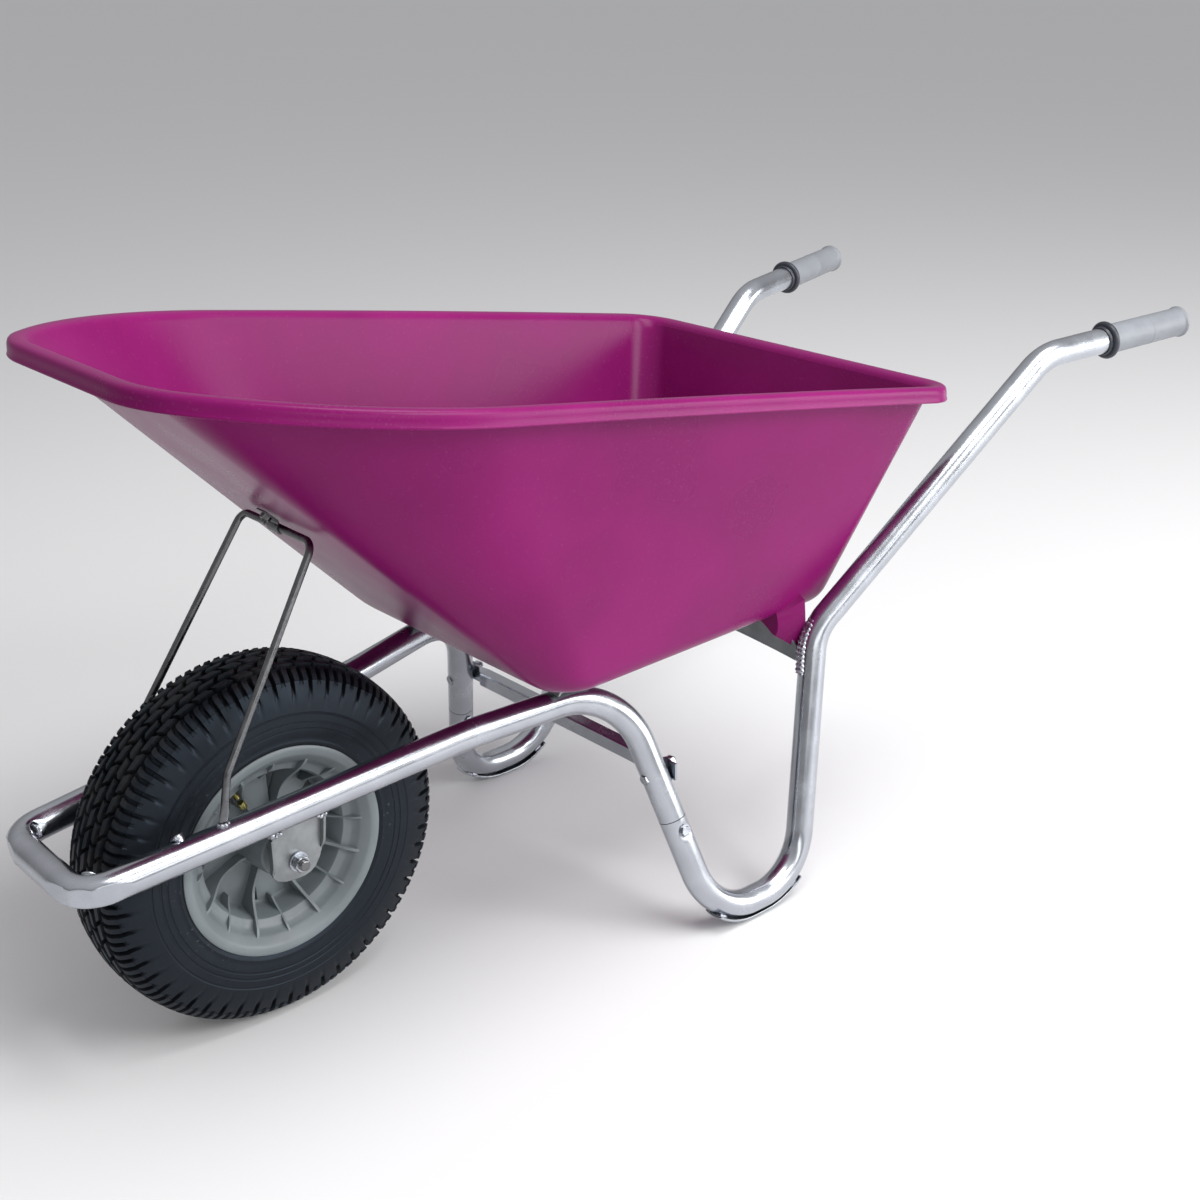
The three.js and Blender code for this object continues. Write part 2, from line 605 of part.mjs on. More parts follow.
function addWheelRim() {
  // radius and half width, from the hub's bore out over the inner drum to the flange and the tyre seat
  const half = [
    [HUB.seatR, HUB.half], [HUB.r, HUB.half], [HUB.r + 3, 4], [78, 4], [82, 32], [91, 35], [99, 46], [105, 52],
    [113, 53.5], [RIM_FLANGE_R, 51.5], [115, 49.4], [104, 44.5], [103, 38], [96, 32], [89.5, 29],
  ];
  const profile = mirrored(half);
  let rim = solidOf(lathe(profile, WHEEL_FACETS));
  const tall = 16;
  const long = mirrored([[HUB.r - 3, tall - 2], [44, tall], [100, 45.5]]);
  const short = mirrored([[72, 17], [100, 45.5]]);
  for (let k = 0; k < 2 * WINDOWS; k++) {
    const outlinePoints = k % 2 ? short : long;
    rim = rim.add(solidOf(rib(outlinePoints, (k * PI) / WINDOWS)));
  }
  for (let k = 0; k < WINDOWS; k++) {
    // a triangular window through the web, beside each long rib
    const window = [[34, 2.4], [75, 2.4], [75, 17]].map(([x, z]) => new THREE.Vector2(x, z));
    const wedge = new THREE.ExtrudeGeometry(new THREE.Shape(window), { depth: 20, bevelEnabled: false });
    wedge.translate(0, 0, -10).rotateX(PI / 2).rotateY((2 * k * PI) / WINDOWS);
    rim = cut(rim, aboutAxle(wedge));
  }
  rim = cut(rim, valveTool(VALVE.r + GAP, 60, 50));
  add("wheel_rim", rim, GREY_PLASTIC);
}

const valveOut = V(-sin(VALVE.turn), 0, cos(VALVE.turn));
function valveTool(r, from, length) {
  const base = V(AXLE.x, VALVE.y, AXLE.z).addScaledVector(valveOut, from);
  return along(rod(r, length, 10), base, valveOut);
}

function addTyre() {
  const outside = [
    [103 + GAP, 38.5], [104 + GAP, 44.2], [114.6, 48.8], [118, 51.6], [135, TYRE_HALF], [155, 53.6], [176, 50],
    [192, 39], [198.6, 20],
  ];
  const inside = [[191, 20], [184, 35], [168, 45], [150, 48], [130, 47], [112, 42]];
  const around = [...outside, [TYRE_R, 0], ...outside.map(([r, y]) => [r, -y]).reverse()];
  const within = [...inside.map(([r, y]) => [r, -y]).reverse(), ...inside];
  add("tyre", lathe([...within, ...around], WHEEL_FACETS), RUBBER);
}

function addInnerTube() {
  const middle = 146.5;
  const section = (shrink) => Array.from({ length: 8 }, (_, k) => {
    const a = (2 * PI * k) / 8;
    return [middle + (41 - shrink) * cos(a), (38 - shrink) * sin(a)];
  });
  const hollow = solidOf(lathe(section(0), 24)).subtract(solidOf(lathe(section(2), 24)));
  add("inner_tube", cut(hollow, valveTool(VALVE.r + GAP, 100, 35)), RUBBER);
  const stem = joined(valveTool(VALVE.r, 73, 37), valveTool(VALVE.r - 0.6, 66, 8));
  add("valve_stem", stem, BRASS);
  add("valve_cap", valveTool(VALVE.r + 0.6, 57, 8.5), BRASS);
}

function addBearingsAndAxle() {
  const shaft = along(rod(AXLE_R, 2 * AXLE_HALF, 20), V(AXLE.x, -AXLE_HALF, AXLE.z), V(0, 1, 0));
  add("axle", shaft, STEEL);
  for (const [name, side] of Object.entries(SIDES)) {
    const out = V(0, side, 0);
    const at = (y) => V(AXLE.x, side * y, AXLE.z);
    const bearing = ring((HUB.seatR - GAP) * cos(PI / WHEEL_FACETS), AXLE_R, HUB.seatDepth, 20, RUNNING_GAP);
    add("wheel_bearing_" + name, along(bearing, at(HUB.half - HUB.seatDepth + 2), out), STEEL);
    const spacer = PLATE_Y - (HUB.half + 2) - 2 * GAP - 0.4;
    add("axle_spacer_" + name, along(ring(11, AXLE_R, spacer), at(HUB.half + 2 + GAP + 0.4), out), STEEL);
    const plateFace = PLATE_Y + 3 + GAP;
    add("axle_washer_" + name, along(ring(11, AXLE_R, 2.2), at(plateFace), out), STEEL);
    add("axle_nut_" + name, nut(at(plateFace + 2.2 + GAP), out, 9.5, 8, AXLE_R), STEEL);
    addAxleBracket(name, side);
  }
}

// The plate that hangs from the rail and carries the axle, with its front and rear edges folded outwards
function addAxleBracket(name, side) {
  const thick = 3;
  const foldDepth = 9;
  const face = [[-32, 38], [-30, -9], [-16, -18.5], [6, -20], [20, -14], [31, 6], [34, 44]];
  const outlineXZ = face.map(([x, z]) => [AXLE.x + x, AXLE.z + z]);
  const y = [side * PLATE_Y, side * (PLATE_Y + thick)].sort((a, b) => a - b);
  let bracket = solidOf(slab(outlineXZ, ...y));
  for (const [x, low, high] of [[-32, -6, 37], [31, 8, 43]]) {
    const depth = [side * PLATE_Y, side * (PLATE_Y + foldDepth)].sort((a, b) => a - b);
    const fold = box(V(AXLE.x + x, depth[0], AXLE.z + low), V(AXLE.x + x + thick, depth[1], AXLE.z + high));
    bracket = bracket.add(solidOf(fold));
  }
  const hole = along(bore(AXLE_R, 20, 12), V(AXLE.x, side * (PLATE_Y - 8), AXLE.z), V(0, side, 0));
  add("axle_bracket_" + name, cut(bracket, hole), ZINC);
}

addTray();
addFrameTubes();
addLegBrace();
addRearCrossPlate();
addTrayBrackets();
addTrayBolts();
addStay();
addHandles();
addWheelRim();
addTyre();
addInnerTube();
addBearingsAndAxle();

export default root;
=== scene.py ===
"""Builds the visible wheelbarrow round its frame: tray, tubes, fittings, wheel, materials and studio."""

import math

import bpy
import numpy as np
from bpy.props import FloatProperty, FloatVectorProperty, PointerProperty
from mathutils import Matrix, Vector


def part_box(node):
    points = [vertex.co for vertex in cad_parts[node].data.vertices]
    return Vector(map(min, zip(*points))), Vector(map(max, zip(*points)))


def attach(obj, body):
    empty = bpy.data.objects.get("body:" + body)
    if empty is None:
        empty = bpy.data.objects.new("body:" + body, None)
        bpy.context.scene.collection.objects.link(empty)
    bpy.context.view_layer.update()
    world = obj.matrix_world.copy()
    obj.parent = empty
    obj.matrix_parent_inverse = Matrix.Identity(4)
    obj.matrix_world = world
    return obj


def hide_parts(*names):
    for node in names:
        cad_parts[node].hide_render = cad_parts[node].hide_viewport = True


bl_info = {
    "name": "Wheelbarrow",
    "version": (1, 0, 0),
    "blender": (4, 5, 0),
    "location": "View3D > Sidebar > Wheelbarrow",
    "description": "Makes a garden wheelbarrow, its materials and a plain studio",
    "category": "Object",
}

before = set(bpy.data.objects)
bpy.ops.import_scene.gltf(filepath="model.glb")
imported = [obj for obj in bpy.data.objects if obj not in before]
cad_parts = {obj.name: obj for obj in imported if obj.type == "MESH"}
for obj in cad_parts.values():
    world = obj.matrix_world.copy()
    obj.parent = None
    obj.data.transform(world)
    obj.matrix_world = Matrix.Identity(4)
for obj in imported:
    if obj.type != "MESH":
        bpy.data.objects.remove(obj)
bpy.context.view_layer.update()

# Shapes are worked out in millimetres, in the frame's own axes, and become metres in the mesh.
MM = 0.001
SIDES = {"left": -1, "right": 1}
NAMES = {side: name for name, side in SIDES.items()}
FRAME_BODY = "frame"
WHEEL_BODY = "wheel"
FULL_TURN = 2 * math.pi

# ---- Driving dimensions, as in the frame ----


def cad_box(node):
    """The lowest and highest corners of a CAD node, in millimetres."""
    low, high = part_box(node)
    return np.array(low) / MM, np.array(high) / MM


AXLE = sum(cad_box("axle")) / 2
TUBE_R = 16.0
TUBE_BORE = 14.0
FRONT_CORNER = (-715, 78, 252)
RAIL_BEND = (-285, 109, 289)
LEG_TOP = (-104, 146, 305)
LEG_FRONT = (-44, 240, 19.5)
LEG_REAR = (93, 243, 19.5)
HANDLE_FOOT = (161, 198, 308)
HANDLE_BEND = (502, 251, 588)
HANDLE_END = (722.5, 294, 601.5)
BEND_R = {"front_corner": 34, "rail": 300, "leg_top": 92, "leg": 75, "handle_foot": 65, "handle": 75}
BRACE_AT = 0.375  # of the way down the front leg arm, as are the next three
SPLICE_AT = 0.56
REAR_TUBE_AT = SPLICE_AT + 0.003
SPLICE_BOLT_AT = SPLICE_AT + 0.055
FLOOR_Z = cad_box("rear_cross_plate")[1][2] + 0.3  # underside of the tray's floor
WALL = 4.0
STAY_R = 4.0
STAY_FOOT = (-568, 89, 282)
STAY_KNEE = (-558, 88, 331)
STAY_TOP = (-429.5, 66.8, 531.4)
PLATE_Y = 74.0  # inner face of the axle brackets
TYRE_FACETS = 30  # of the CAD's tyre, whose box spans the flats
TYRE_LOW, TYRE_HIGH = cad_box("tyre")
TYRE_R = min((TYRE_HIGH[2] - TYRE_LOW[2]) / 2 / math.cos(math.pi / TYRE_FACETS), AXLE[2])


# ---- Arrays and vectors ----


def on_side(point, side):
    """The point on the left (-1) or right (1) of the barrow."""
    return np.array([point[0], point[1] * side, point[2]], float)


def unit(v):
    """The vectors, each divided by its length."""
    v = np.asarray(v, float)
    return v / np.linalg.norm(v, axis=-1, keepdims=True)


def eased(x, low, high):
    """0 below low, 1 above high, and a smooth cubic between."""
    t = np.clip((np.asarray(x, float) - low) / (high - low), 0, 1)
    return t * t * (3 - 2 * t)


def between(a, b, t):
    """Straight interpolation from a to b."""
    return a + (b - a) * t


def across(direction):
    """Two unit vectors square to the direction and to each other."""
    direction = unit(direction)
    helper = np.eye(3)[np.argmin(np.abs(direction))]
    first = unit(np.cross(direction, helper))
    return first, np.cross(direction, first)


# ---- Meshes from grids of points ----


class Surface:
    """Grids of points, in millimetres, that become one mesh. Every grid is a closed skin facing outwards."""

    def __init__(self):
        self.points, self.flow, self.faces, self.count = [], [], [], 0

    def grid(self, points, ring=False, flow=None):
        """Rows of points whose last column joins the first. The end rows are closed by a face each, or, for a
        ring, join one another. The skin is turned if its signed volume is negative."""
        rows, columns = points.shape[:2]
        index = np.arange(rows * columns).reshape(rows, columns)
        i = np.arange(rows if ring else rows - 1)[:, None]
        j = np.arange(columns)[None, :]
        i2, j2 = (i + 1) % rows, (j + 1) % columns
        quads = np.stack([index[i, j], index[i, j2], index[i2, j2], index[i2, j]], axis=-1).reshape(-1, 4)
        flat = points.reshape(-1, 3)
        a, b, c, d = (flat[quads[:, k]] - flat.mean(0) for k in range(4))
        volume = np.einsum("ij,ij->", a, np.cross(b, c)) + np.einsum("ij,ij->", a, np.cross(c, d))
        lids = [] if ring else [index[0][::-1], index[-1]]
        for lid in lids:
            loop = flat[lid] - flat.mean(0)
            volume += np.einsum("j,ij->", loop.mean(0), np.cross(loop, np.roll(loop, -1, axis=0)))
        faces = [*quads.tolist(), *(lid.tolist() for lid in lids)]
        if volume < 0:
            faces = [face[::-1] for face in faces]
        self.faces += [[v + self.count for v in face] for face in faces]
        self.points.append(flat)
        self.flow.append(np.zeros_like(flat) if flow is None else flow.reshape(-1, 3))
        self.count += len(flat)

    def prism(self, loop, offset):
        """A flat outline carried along an offset, closed at both ends."""
        loop = np.asarray(loop, float)
        self.grid(np.stack([loop, loop + np.asarray(offset, float)]))

    def piece(self, name, finish, slot, nodes=None, body=FRAME_BODY, sharp=32.0, bevel=None):
        """Makes the mesh, rides it on its body and lets it stand for CAD nodes: the one of its own name if no
        others are given. sharp is in degrees and bevel, a width, in mm."""
        mesh = bpy.data.meshes.new(name)
        mesh.from_pydata((np.concatenate(self.points) * MM).tolist(), [], self.faces)
        flow = mesh.attributes.new("flow", "FLOAT_VECTOR", "POINT")
        flow.data.foreach_set("vector", (np.concatenate(self.flow) * MM).astype(np.float32).ravel())
        mesh.update()
        mesh.shade_smooth()
        mesh.set_sharp_from_angle(angle=math.radians(sharp))
        piece = added(name, mesh)
        mesh.materials.append(look(finish))
        if bevel:
            edge = piece.modifiers.new("rounded edges", "BEVEL")
            edge.width = bevel * MM
            edge.segments = 3
            edge.limit_method = "ANGLE"
            edge.angle_limit = math.radians(30)
        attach(piece, body)
        replaced = [name] if nodes is None else nodes
        if replaced:
            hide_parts(*replaced)


def turned(profile, base, direction, columns=48, shape=None):
    """A profile of (distance along, radius) turned about the direction from base. shape, a function of angle
    and radius, replaces the circle."""
    profile = np.asarray(profile, float)
    first, second = across(direction)
    angle = np.arange(columns) * FULL_TURN / columns
    radius = np.repeat(profile[:, 1:2], columns, axis=1)
    if shape is not None:
        radius = shape(angle[None, :], radius)
    centre = np.asarray(base, float) + profile[:, :1] * unit(direction)
    rim = np.cos(angle)[:, None] * first + np.sin(angle)[:, None] * second
    return centre[:, None, :] + radius[..., None] * rim[None, :, :]


def about_axle(profile, columns):
    """A profile of (radius, width) turned about the wheel's axle."""
    profile = np.asarray(profile, float)
    return on_wheel(profile[:, :1], np.arange(columns) * FULL_TURN / columns, profile[:, 1:])


def hexagon(angle, radius):
    """The radius of a hexagon whose corners lie at the given radius."""
    sector = math.pi / 3
    return radius * math.cos(sector / 2) / np.cos((angle + sector / 2) % sector - sector / 2)


def hex_head(surface, base, direction, corner_r, height):
    """A hexagon with its outer edge turned off at 30 degrees, so that each corner shows an arc."""
    chamfer = corner_r * 0.16
    rows = [(0.0, 1.0), (0.25, 1.02), (height - chamfer, 1.02), (height - chamfer * 0.66, 0.97),
            (height - chamfer * 0.33, 0.92), (height, 0.84)]

    def turned_off(angle, limit):
        return np.minimum(hexagon(angle, corner_r), limit)

    surface.grid(turned(np.array(rows) * [1, corner_r], base, direction, 60, turned_off))


def shank(surface, base, direction, radius, length, pitch=1.25):
    """A threaded bolt end: its radius rises and falls once every pitch, and it ends in a small cone."""
    step = pitch / 4
    z = np.arange(0, max(length - 1, step), step)
    thread = radius - 0.25 + 0.25 * np.cos(z * FULL_TURN / pitch)
    profile = np.concatenate([np.stack([z, thread], axis=1), [[length, radius - 1.1]]])
    surface.grid(turned(profile, base, direction, columns=20))


def washer(surface, base, direction, outer, inner, thick):
    """A flat ring with its edges slightly rounded."""
    round_off = thick * 0.2
    profile = [(0, inner), (0, outer - round_off), (round_off, outer), (thick - round_off, outer),
               (thick, outer - round_off), (thick, inner)]
    surface.grid(turned(profile, base, direction), ring=True)


def blob(surface, centre, radii, normal):
    """A flattened ball, as of weld metal: an ellipsoid with its short axis along the normal."""
    theta = np.linspace(0.08, math.pi - 0.08, 9)[:, None]
    phi = np.arange(14)[None, :] * FULL_TURN / 14
    first, second = across(normal)
    local = [radii[0] * np.sin(theta) * np.cos(phi), radii[1] * np.sin(theta) * np.sin(phi),
             radii[2] * np.cos(theta) * np.ones_like(phi)]
    axes = [first, second, unit(normal)]
    surface.grid(np.asarray(centre, float) + sum(part[..., None] * axis for part, axis in zip(local, axes)))


def bead(surface, points, radius, seed, ripple=4.2):
    """A weld bead along points: a tube whose radius ripples and wanders a little."""
    step = 1.2
    route = resampled(np.asarray(points, float), step)
    rng = np.random.default_rng(seed)
    run = np.arange(len(route)) * step
    knots = run[::4]
    wander = np.interp(run, knots, rng.uniform(0.85, 1.15, len(knots)))
    size = radius * wander * (1 + 0.16 * np.cos(run * FULL_TURN / ripple))
    size[[0, -1]] *= 0.35
    surface.grid(carried_circle(route, size, 14)[0])


# ---- Bent tubes ----


def resampled(points, step):
    """The polyline again, with points at an even spacing."""
    reach = np.concatenate([[0], np.cumsum(np.linalg.norm(np.diff(points, axis=0), axis=1))])
    count = max(2, int(round(reach[-1] / step)) + 1)
    at = np.linspace(0, reach[-1], count)
    return np.stack([np.interp(at, reach, points[:, k]) for k in range(3)], axis=1)


def bent_route(corners, radii, step=3.0):
    """Straight runs joined by circular bends: each corner gives way to an arc tangent to both of its runs.
    Returns the points and, for each bend, its middle, its outward direction and its centre."""
    corners = np.asarray(corners, float)
    heading = unit(np.diff(corners, axis=0))
    parts, bends = [corners[:1]], []
    for corner, into, out, radius in zip(corners[1:-1], heading[:-1], heading[1:], radii):
        angle = math.acos(np.clip(into @ out, -1, 1))
        towards = unit(out - into * (into @ out))
        start = corner - into * radius * math.tan(angle / 2)
        centre = start + towards * radius
        a = np.linspace(0, angle, max(4, int(angle * radius / step)))[:, None]
        parts.append(centre - towards * radius * np.cos(a) + into * radius * np.sin(a))
        outward = unit(into - out)
        bends.append((centre + outward * radius, outward, centre, angle))
    parts.append(corners[-1:])
    points = np.concatenate(parts)
    keep = np.concatenate([[True], np.linalg.norm(np.diff(points, axis=0), axis=1) > 1e-6])
    return resampled(points[keep], step), bends


def carried_circle(route, radius, around):
    """A circle carried along the route without twist. Returns the points and their flow: distance along the
    route and round the circle."""
    tangent = unit(np.gradient(route, axis=0))
    normal = np.empty_like(route)
    n = across(tangent[0])[0]
    for k, t in enumerate(tangent):
        n = unit(n - t * (n @ t))
        normal[k] = n
    binormal = np.cross(tangent, normal)
    angle = np.arange(around) * FULL_TURN / around
    radius = np.broadcast_to(np.asarray(radius, float).reshape(-1, 1), (len(route), around))
    rim = np.cos(angle)[None, :, None] * normal[:, None] + np.sin(angle)[None, :, None] * binormal[:, None]
    run = np.concatenate([[0], np.cumsum(np.linalg.norm(np.diff(route, axis=0), axis=1))])
    flow = np.stack(np.broadcast_arrays(run[:, None], TUBE_R * angle[None, :], 0.0), axis=-1)
    return route[:, None] + radius[..., None] * rim, flow


def pressed(points, at, inward, radius, depth):
    """A round dent: points near the place move inwards, most at its middle."""
    distance = np.linalg.norm(points - at, axis=-1) / radius
    move = depth * (1 - eased(distance, 0.25, 1.0))
    return points + move[..., None] * unit(inward)


def flattened(points, at, outward, reach, keep):
    """A pressed flat: within a reach of the place, points beyond the plane through it fall back to it, but for
    the share they keep."""
    outward = unit(outward)
    beyond = np.clip((points - at) @ outward, 0, None)
    near = 1 - eased(np.linalg.norm(points - at, axis=-1), 0.75 * reach, reach)
    return points - ((1 - keep) * beyond * near)[..., None] * outward


# ---- Shader values and materials ----


class Value:
    """A number that varies over a surface. Arithmetic on it adds Math nodes to its material."""

    def __init__(self, finish, socket):
        self.finish, self.socket = finish, socket

    def _math(self, operation, *others):
        made = self.finish.node("ShaderNodeMath", {"operation": operation}, dict(enumerate((self, *others))))
        return Value(self.finish, made.outputs[0])

    def __add__(self, other):
        return self._math("ADD", other)

    def __sub__(self, other):
        return self._math("SUBTRACT", other)

    def __mul__(self, other):
        return self._math("MULTIPLY", other)

    def root(self):
        return self._math("SQRT")

    def ramp(self, low, high, to_low=0.0, to_high=1.0):
        """Carries low..high to to_low..to_high, smoothly, and stays level outside."""
        sockets = {"Value": self, "From Min": low, "From Max": high, "To Min": to_low, "To Max": to_high}
        made = self.finish.node("ShaderNodeMapRange", {"interpolation_type": "SMOOTHSTEP"}, sockets)
        return Value(self.finish, made.outputs["Result"])


class Finish:
    """A node material in the making: one Principled shader, its constants, and the nodes that vary it."""

    def __init__(self, name, **constants):
        self.material = bpy.data.materials.new(name)
        self.material.use_nodes = True
        self.tree = self.material.node_tree
        self.tree.nodes.clear()
        self.shader = self.node("ShaderNodeBsdfPrincipled", sockets=constants)
        output = self.node("ShaderNodeOutputMaterial")
        self.tree.links.new(self.shader.outputs[0], output.inputs[0])

    def node(self, kind, settings=None, sockets=None):
        """Adds a node, makes its settings, then sets or links its sockets."""
        made = self.tree.nodes.new(kind)
        for key, value in (settings or {}).items():
            setattr(made, key, value)
        for key, value in (sockets or {}).items():
            self.feed(made.inputs[key], value)
        return made

    def feed(self, socket, value):
        source = value.socket if isinstance(value, Value) else value
        if isinstance(source, bpy.types.NodeSocket):
            self.tree.links.new(source, socket)
        else:
            socket.default_value = source

    def mapped(self, vector, **sockets):
        return self.node("ShaderNodeMapping", sockets={"Vector": vector, **sockets}).outputs[0]

    def place(self, stretch=(1, 1, 1), shift=(0, 0, 0)):
        """Object coordinates, in metres, scaled and shifted."""
        where = self.node("ShaderNodeTexCoord").outputs["Object"]
        return self.mapped(where, Scale=stretch, Location=shift)

    def along_flow(self, stretch):
        """The piece's own flow attribute: metres along a tube, and round it."""
        flow = self.node("ShaderNodeAttribute", {"attribute_name": "flow"}).outputs["Vector"]
        return self.mapped(flow, Scale=stretch)

    def noise(self, scale, detail=3.0, roughness=0.55, vector=None):
        sockets = {"Vector": vector or self.place(), "Scale": scale, "Detail": detail, "Roughness": roughness}
        return Value(self, self.node("ShaderNodeTexNoise", sockets=sockets).outputs[0])

    def cells(self, scale):
        """Distance to the nearest of many scattered points."""
        made = self.node("ShaderNodeTexVoronoi", sockets={"Vector": self.place(), "Scale": scale})
        return Value(self, made.outputs["Distance"])

    def axis(self, name, shift):
        """One coordinate of the shifted position."""
        parts = self.node("ShaderNodeSeparateXYZ", sockets={0: self.place(shift=shift)})
        return Value(self, parts.outputs[name])

    def edges(self):
        """1 on convex edges, from Pointiness."""
        return Value(self, self.node("ShaderNodeNewGeometry").outputs["Pointiness"]).ramp(0.5, 0.62)

    def blend(self, factor, first, second):
        """A colour between two colours."""
        made = self.node("ShaderNodeMix", {"data_type": "RGBA"})
        for index, value in ((0, factor), (6, first), (7, second)):
            self.feed(made.inputs[index], value)
        return made.outputs[2]

    def shades(self, factor, colour, dark, light):
        """A colour between two shades of one colour."""
        return self.blend(factor, shade(colour, dark), shade(colour, light))

    def vary(self, **links):
        """Links values to the shader's sockets, named with _ for a space."""
        for key, value in links.items():
            self.feed(self.shader.inputs[key.replace("_", " ").title()], value)

    def relief(self, height, distance, strength=1.0):
        """Bump from a height of 0 to 1, that many millimetres deep."""
        sockets = {"Height": height, "Distance": distance * MM, "Strength": strength}
        made = self.node("ShaderNodeBump", sockets=sockets)
        self.feed(self.shader.inputs["Normal"], made.outputs[0])


def shade(colour, factor):
    """The colour with its red, green and blue scaled, as an opaque RGBA."""
    return tuple(min(1.0, c * factor) for c in colour[:3]) + (1.0,)


def moulded_purple(colour):
    """Satin polypropylene: fine orange peel, faint flow clouds and a little dust."""
    finish = Finish("moulded_purple", **{"IOR": 1.34, "Specular IOR Level": 0.24})
    clouds = finish.noise(5.0, 3.0)
    speckle = finish.noise(1600.0, 2.0)
    dust = finish.noise(310.0, 3.0, 0.6).ramp(0.58, 0.8)
    tone = finish.shades(clouds.ramp(0.35, 0.68), colour, 0.9, 1.08)
    tone = finish.blend(dust * 0.05, tone, (0.75, 0.45, 0.65, 1))
    peel = finish.noise(420.0, 2.0)
    finish.vary(base_color=tone, roughness=clouds.ramp(0.3, 0.7, 0.26, 0.33) + dust * 0.08)
    finish.relief(peel * 0.7 + speckle * 0.2, 0.035)
    return finish.material


def bright_zinc(colour):
    """Zinc-plated tube: nearly a mirror, with drawing lines, water marks and small dull spots."""
    finish = Finish("bright_zinc", Metallic=1.0)
    drawn = finish.noise(1.0, 4.0, 0.6, finish.along_flow((3, 900, 1)))
    marks = finish.noise(26.0, 4.0, 0.6)
    spots = finish.cells(130.0).ramp(0.1, 0.02) * finish.noise(14.0, 2.0).ramp(0.56, 0.7)
    tint = finish.shades(marks.ramp(0.35, 0.7), colour, 0.93, 1.05)
    tint = finish.blend(spots * 0.55, tint, (0.25, 0.23, 0.21, 1))
    finish.vary(base_color=tint, roughness=marks.ramp(0.35, 0.75, 0.19, 0.27) + drawn * 0.05 + spots * 0.3)
    finish.relief(drawn * 0.6 + marks * 0.25 - spots, 0.02)
    return finish.material


def dull_zinc(colour):
    """Zinc-plated sheet: satin, with cloudy spangles and scratches."""
    finish = Finish("dull_zinc", Metallic=1.0)
    clouds = finish.noise(45.0, 4.0, 0.6)
    spangle = finish.cells(240.0)
    lines = finish.noise(60.0, 5.0, 0.7, finish.place((1, 1, 14))).ramp(0.62, 0.7)
    tint = finish.shades(clouds.ramp(0.3, 0.7), colour, 0.8, 1.12)
    finish.vary(base_color=tint, roughness=clouds.ramp(0.3, 0.7, 0.32, 0.5) + lines * 0.1)
    finish.relief(spangle * 0.3 + clouds * 0.4 - lines * 0.4, 0.03)
    return finish.material


def mottled_metal(colour, name, grain, spread, shades, rough, worn=None, depth=0.03):
    """Plain metal: grain is its noise, which spreads over two shades of the colour and two roughnesses. worn
    is the shade of its edges, and depth is that of the relief, in mm."""
    finish = Finish(name, Metallic=1.0)
    mottle = finish.noise(*grain)
    tint = finish.shades(mottle.ramp(*spread) if spread else mottle, colour, *shades)
    if worn is not None:
        tint = finish.blend(finish.edges() * 0.6, tint, shade(colour, worn))
    finish.vary(base_color=tint, roughness=mottle.ramp(0.3, 0.7, *rough))
    finish.relief(mottle, depth)
    return finish.material


def grained_plastic(colour, name, rough, grain=900.0, grime=0.12):
    """Moulded plastic with a fine grain, faint clouds, paler worn edges and grime."""
    finish = Finish(name, IOR=1.5)
    clouds = finish.noise(16.0, 4.0)
    dirt = finish.noise(70.0, 5.0, 0.65).ramp(0.52, 0.75)
    worn = finish.edges()
    tone = finish.shades(clouds.ramp(0.35, 0.68), colour, 0.92, 1.07)
    tone = finish.blend(dirt * grime, tone, shade(colour, 0.4))
    tone = finish.blend(worn * 0.3, tone, shade(colour, 1.45))
    fine = finish.noise(grain, 2.0)
    finish.vary(base_color=tone, roughness=clouds.ramp(0.3, 0.7, rough - 0.05, rough + 0.05) + dirt * 0.1)
    finish.relief(fine * 0.6 + dirt * 0.2, 0.04)
    return finish.material


def tyre_rubber(colour):
    """Black rubber: dusty high spots, pale scuffs beside the rim and a fine grain."""
    # The bluish Specular Tint is painted light: it gives the rubber's reflections a painted bluish sheen that
    # the rubber itself does not have.
    constants = {"IOR": 1.5, "Specular IOR Level": 0.3, "Specular Tint": (0.6, 0.78, 1.0, 1.0)}
    finish = Finish("tyre_rubber", **constants)
    dust = finish.noise(24.0, 5.0, 0.65)
    up = finish.axis("Z", (0, 0, -AXLE[2] * MM))
    along = finish.axis("X", (-AXLE[0] * MM, 0, 0))
    radius = (up * up + along * along).root()
    bead_zone = radius.ramp(0.150, 0.122) * radius.ramp(0.112, 0.120)
    patches = finish.noise(9.0, 2.0).ramp(0.48, 0.6)
    scuffs = finish.noise(210.0, 6.0, 0.75).ramp(0.6, 0.68) * bead_zone * patches
    tread = radius.ramp(0.186, 0.197)
    tone = finish.shades(dust.ramp(0.4, 0.75) * 0.5, colour, 0.8, 1.9)
    tone = finish.blend(scuffs * 0.6, tone, (0.16, 0.17, 0.18, 1))
    tone = finish.blend(tread * dust.ramp(0.45, 0.6) * 0.16, tone, (0.07, 0.06, 0.05, 1))
    grain = finish.noise(700.0, 3.0)
    finish.vary(base_color=tone, roughness=dust.ramp(0.3, 0.75, 0.42, 0.62) + scuffs * 0.2)
    finish.relief(grain * 0.6 + scuffs * 0.6, 0.06)
    return finish.material


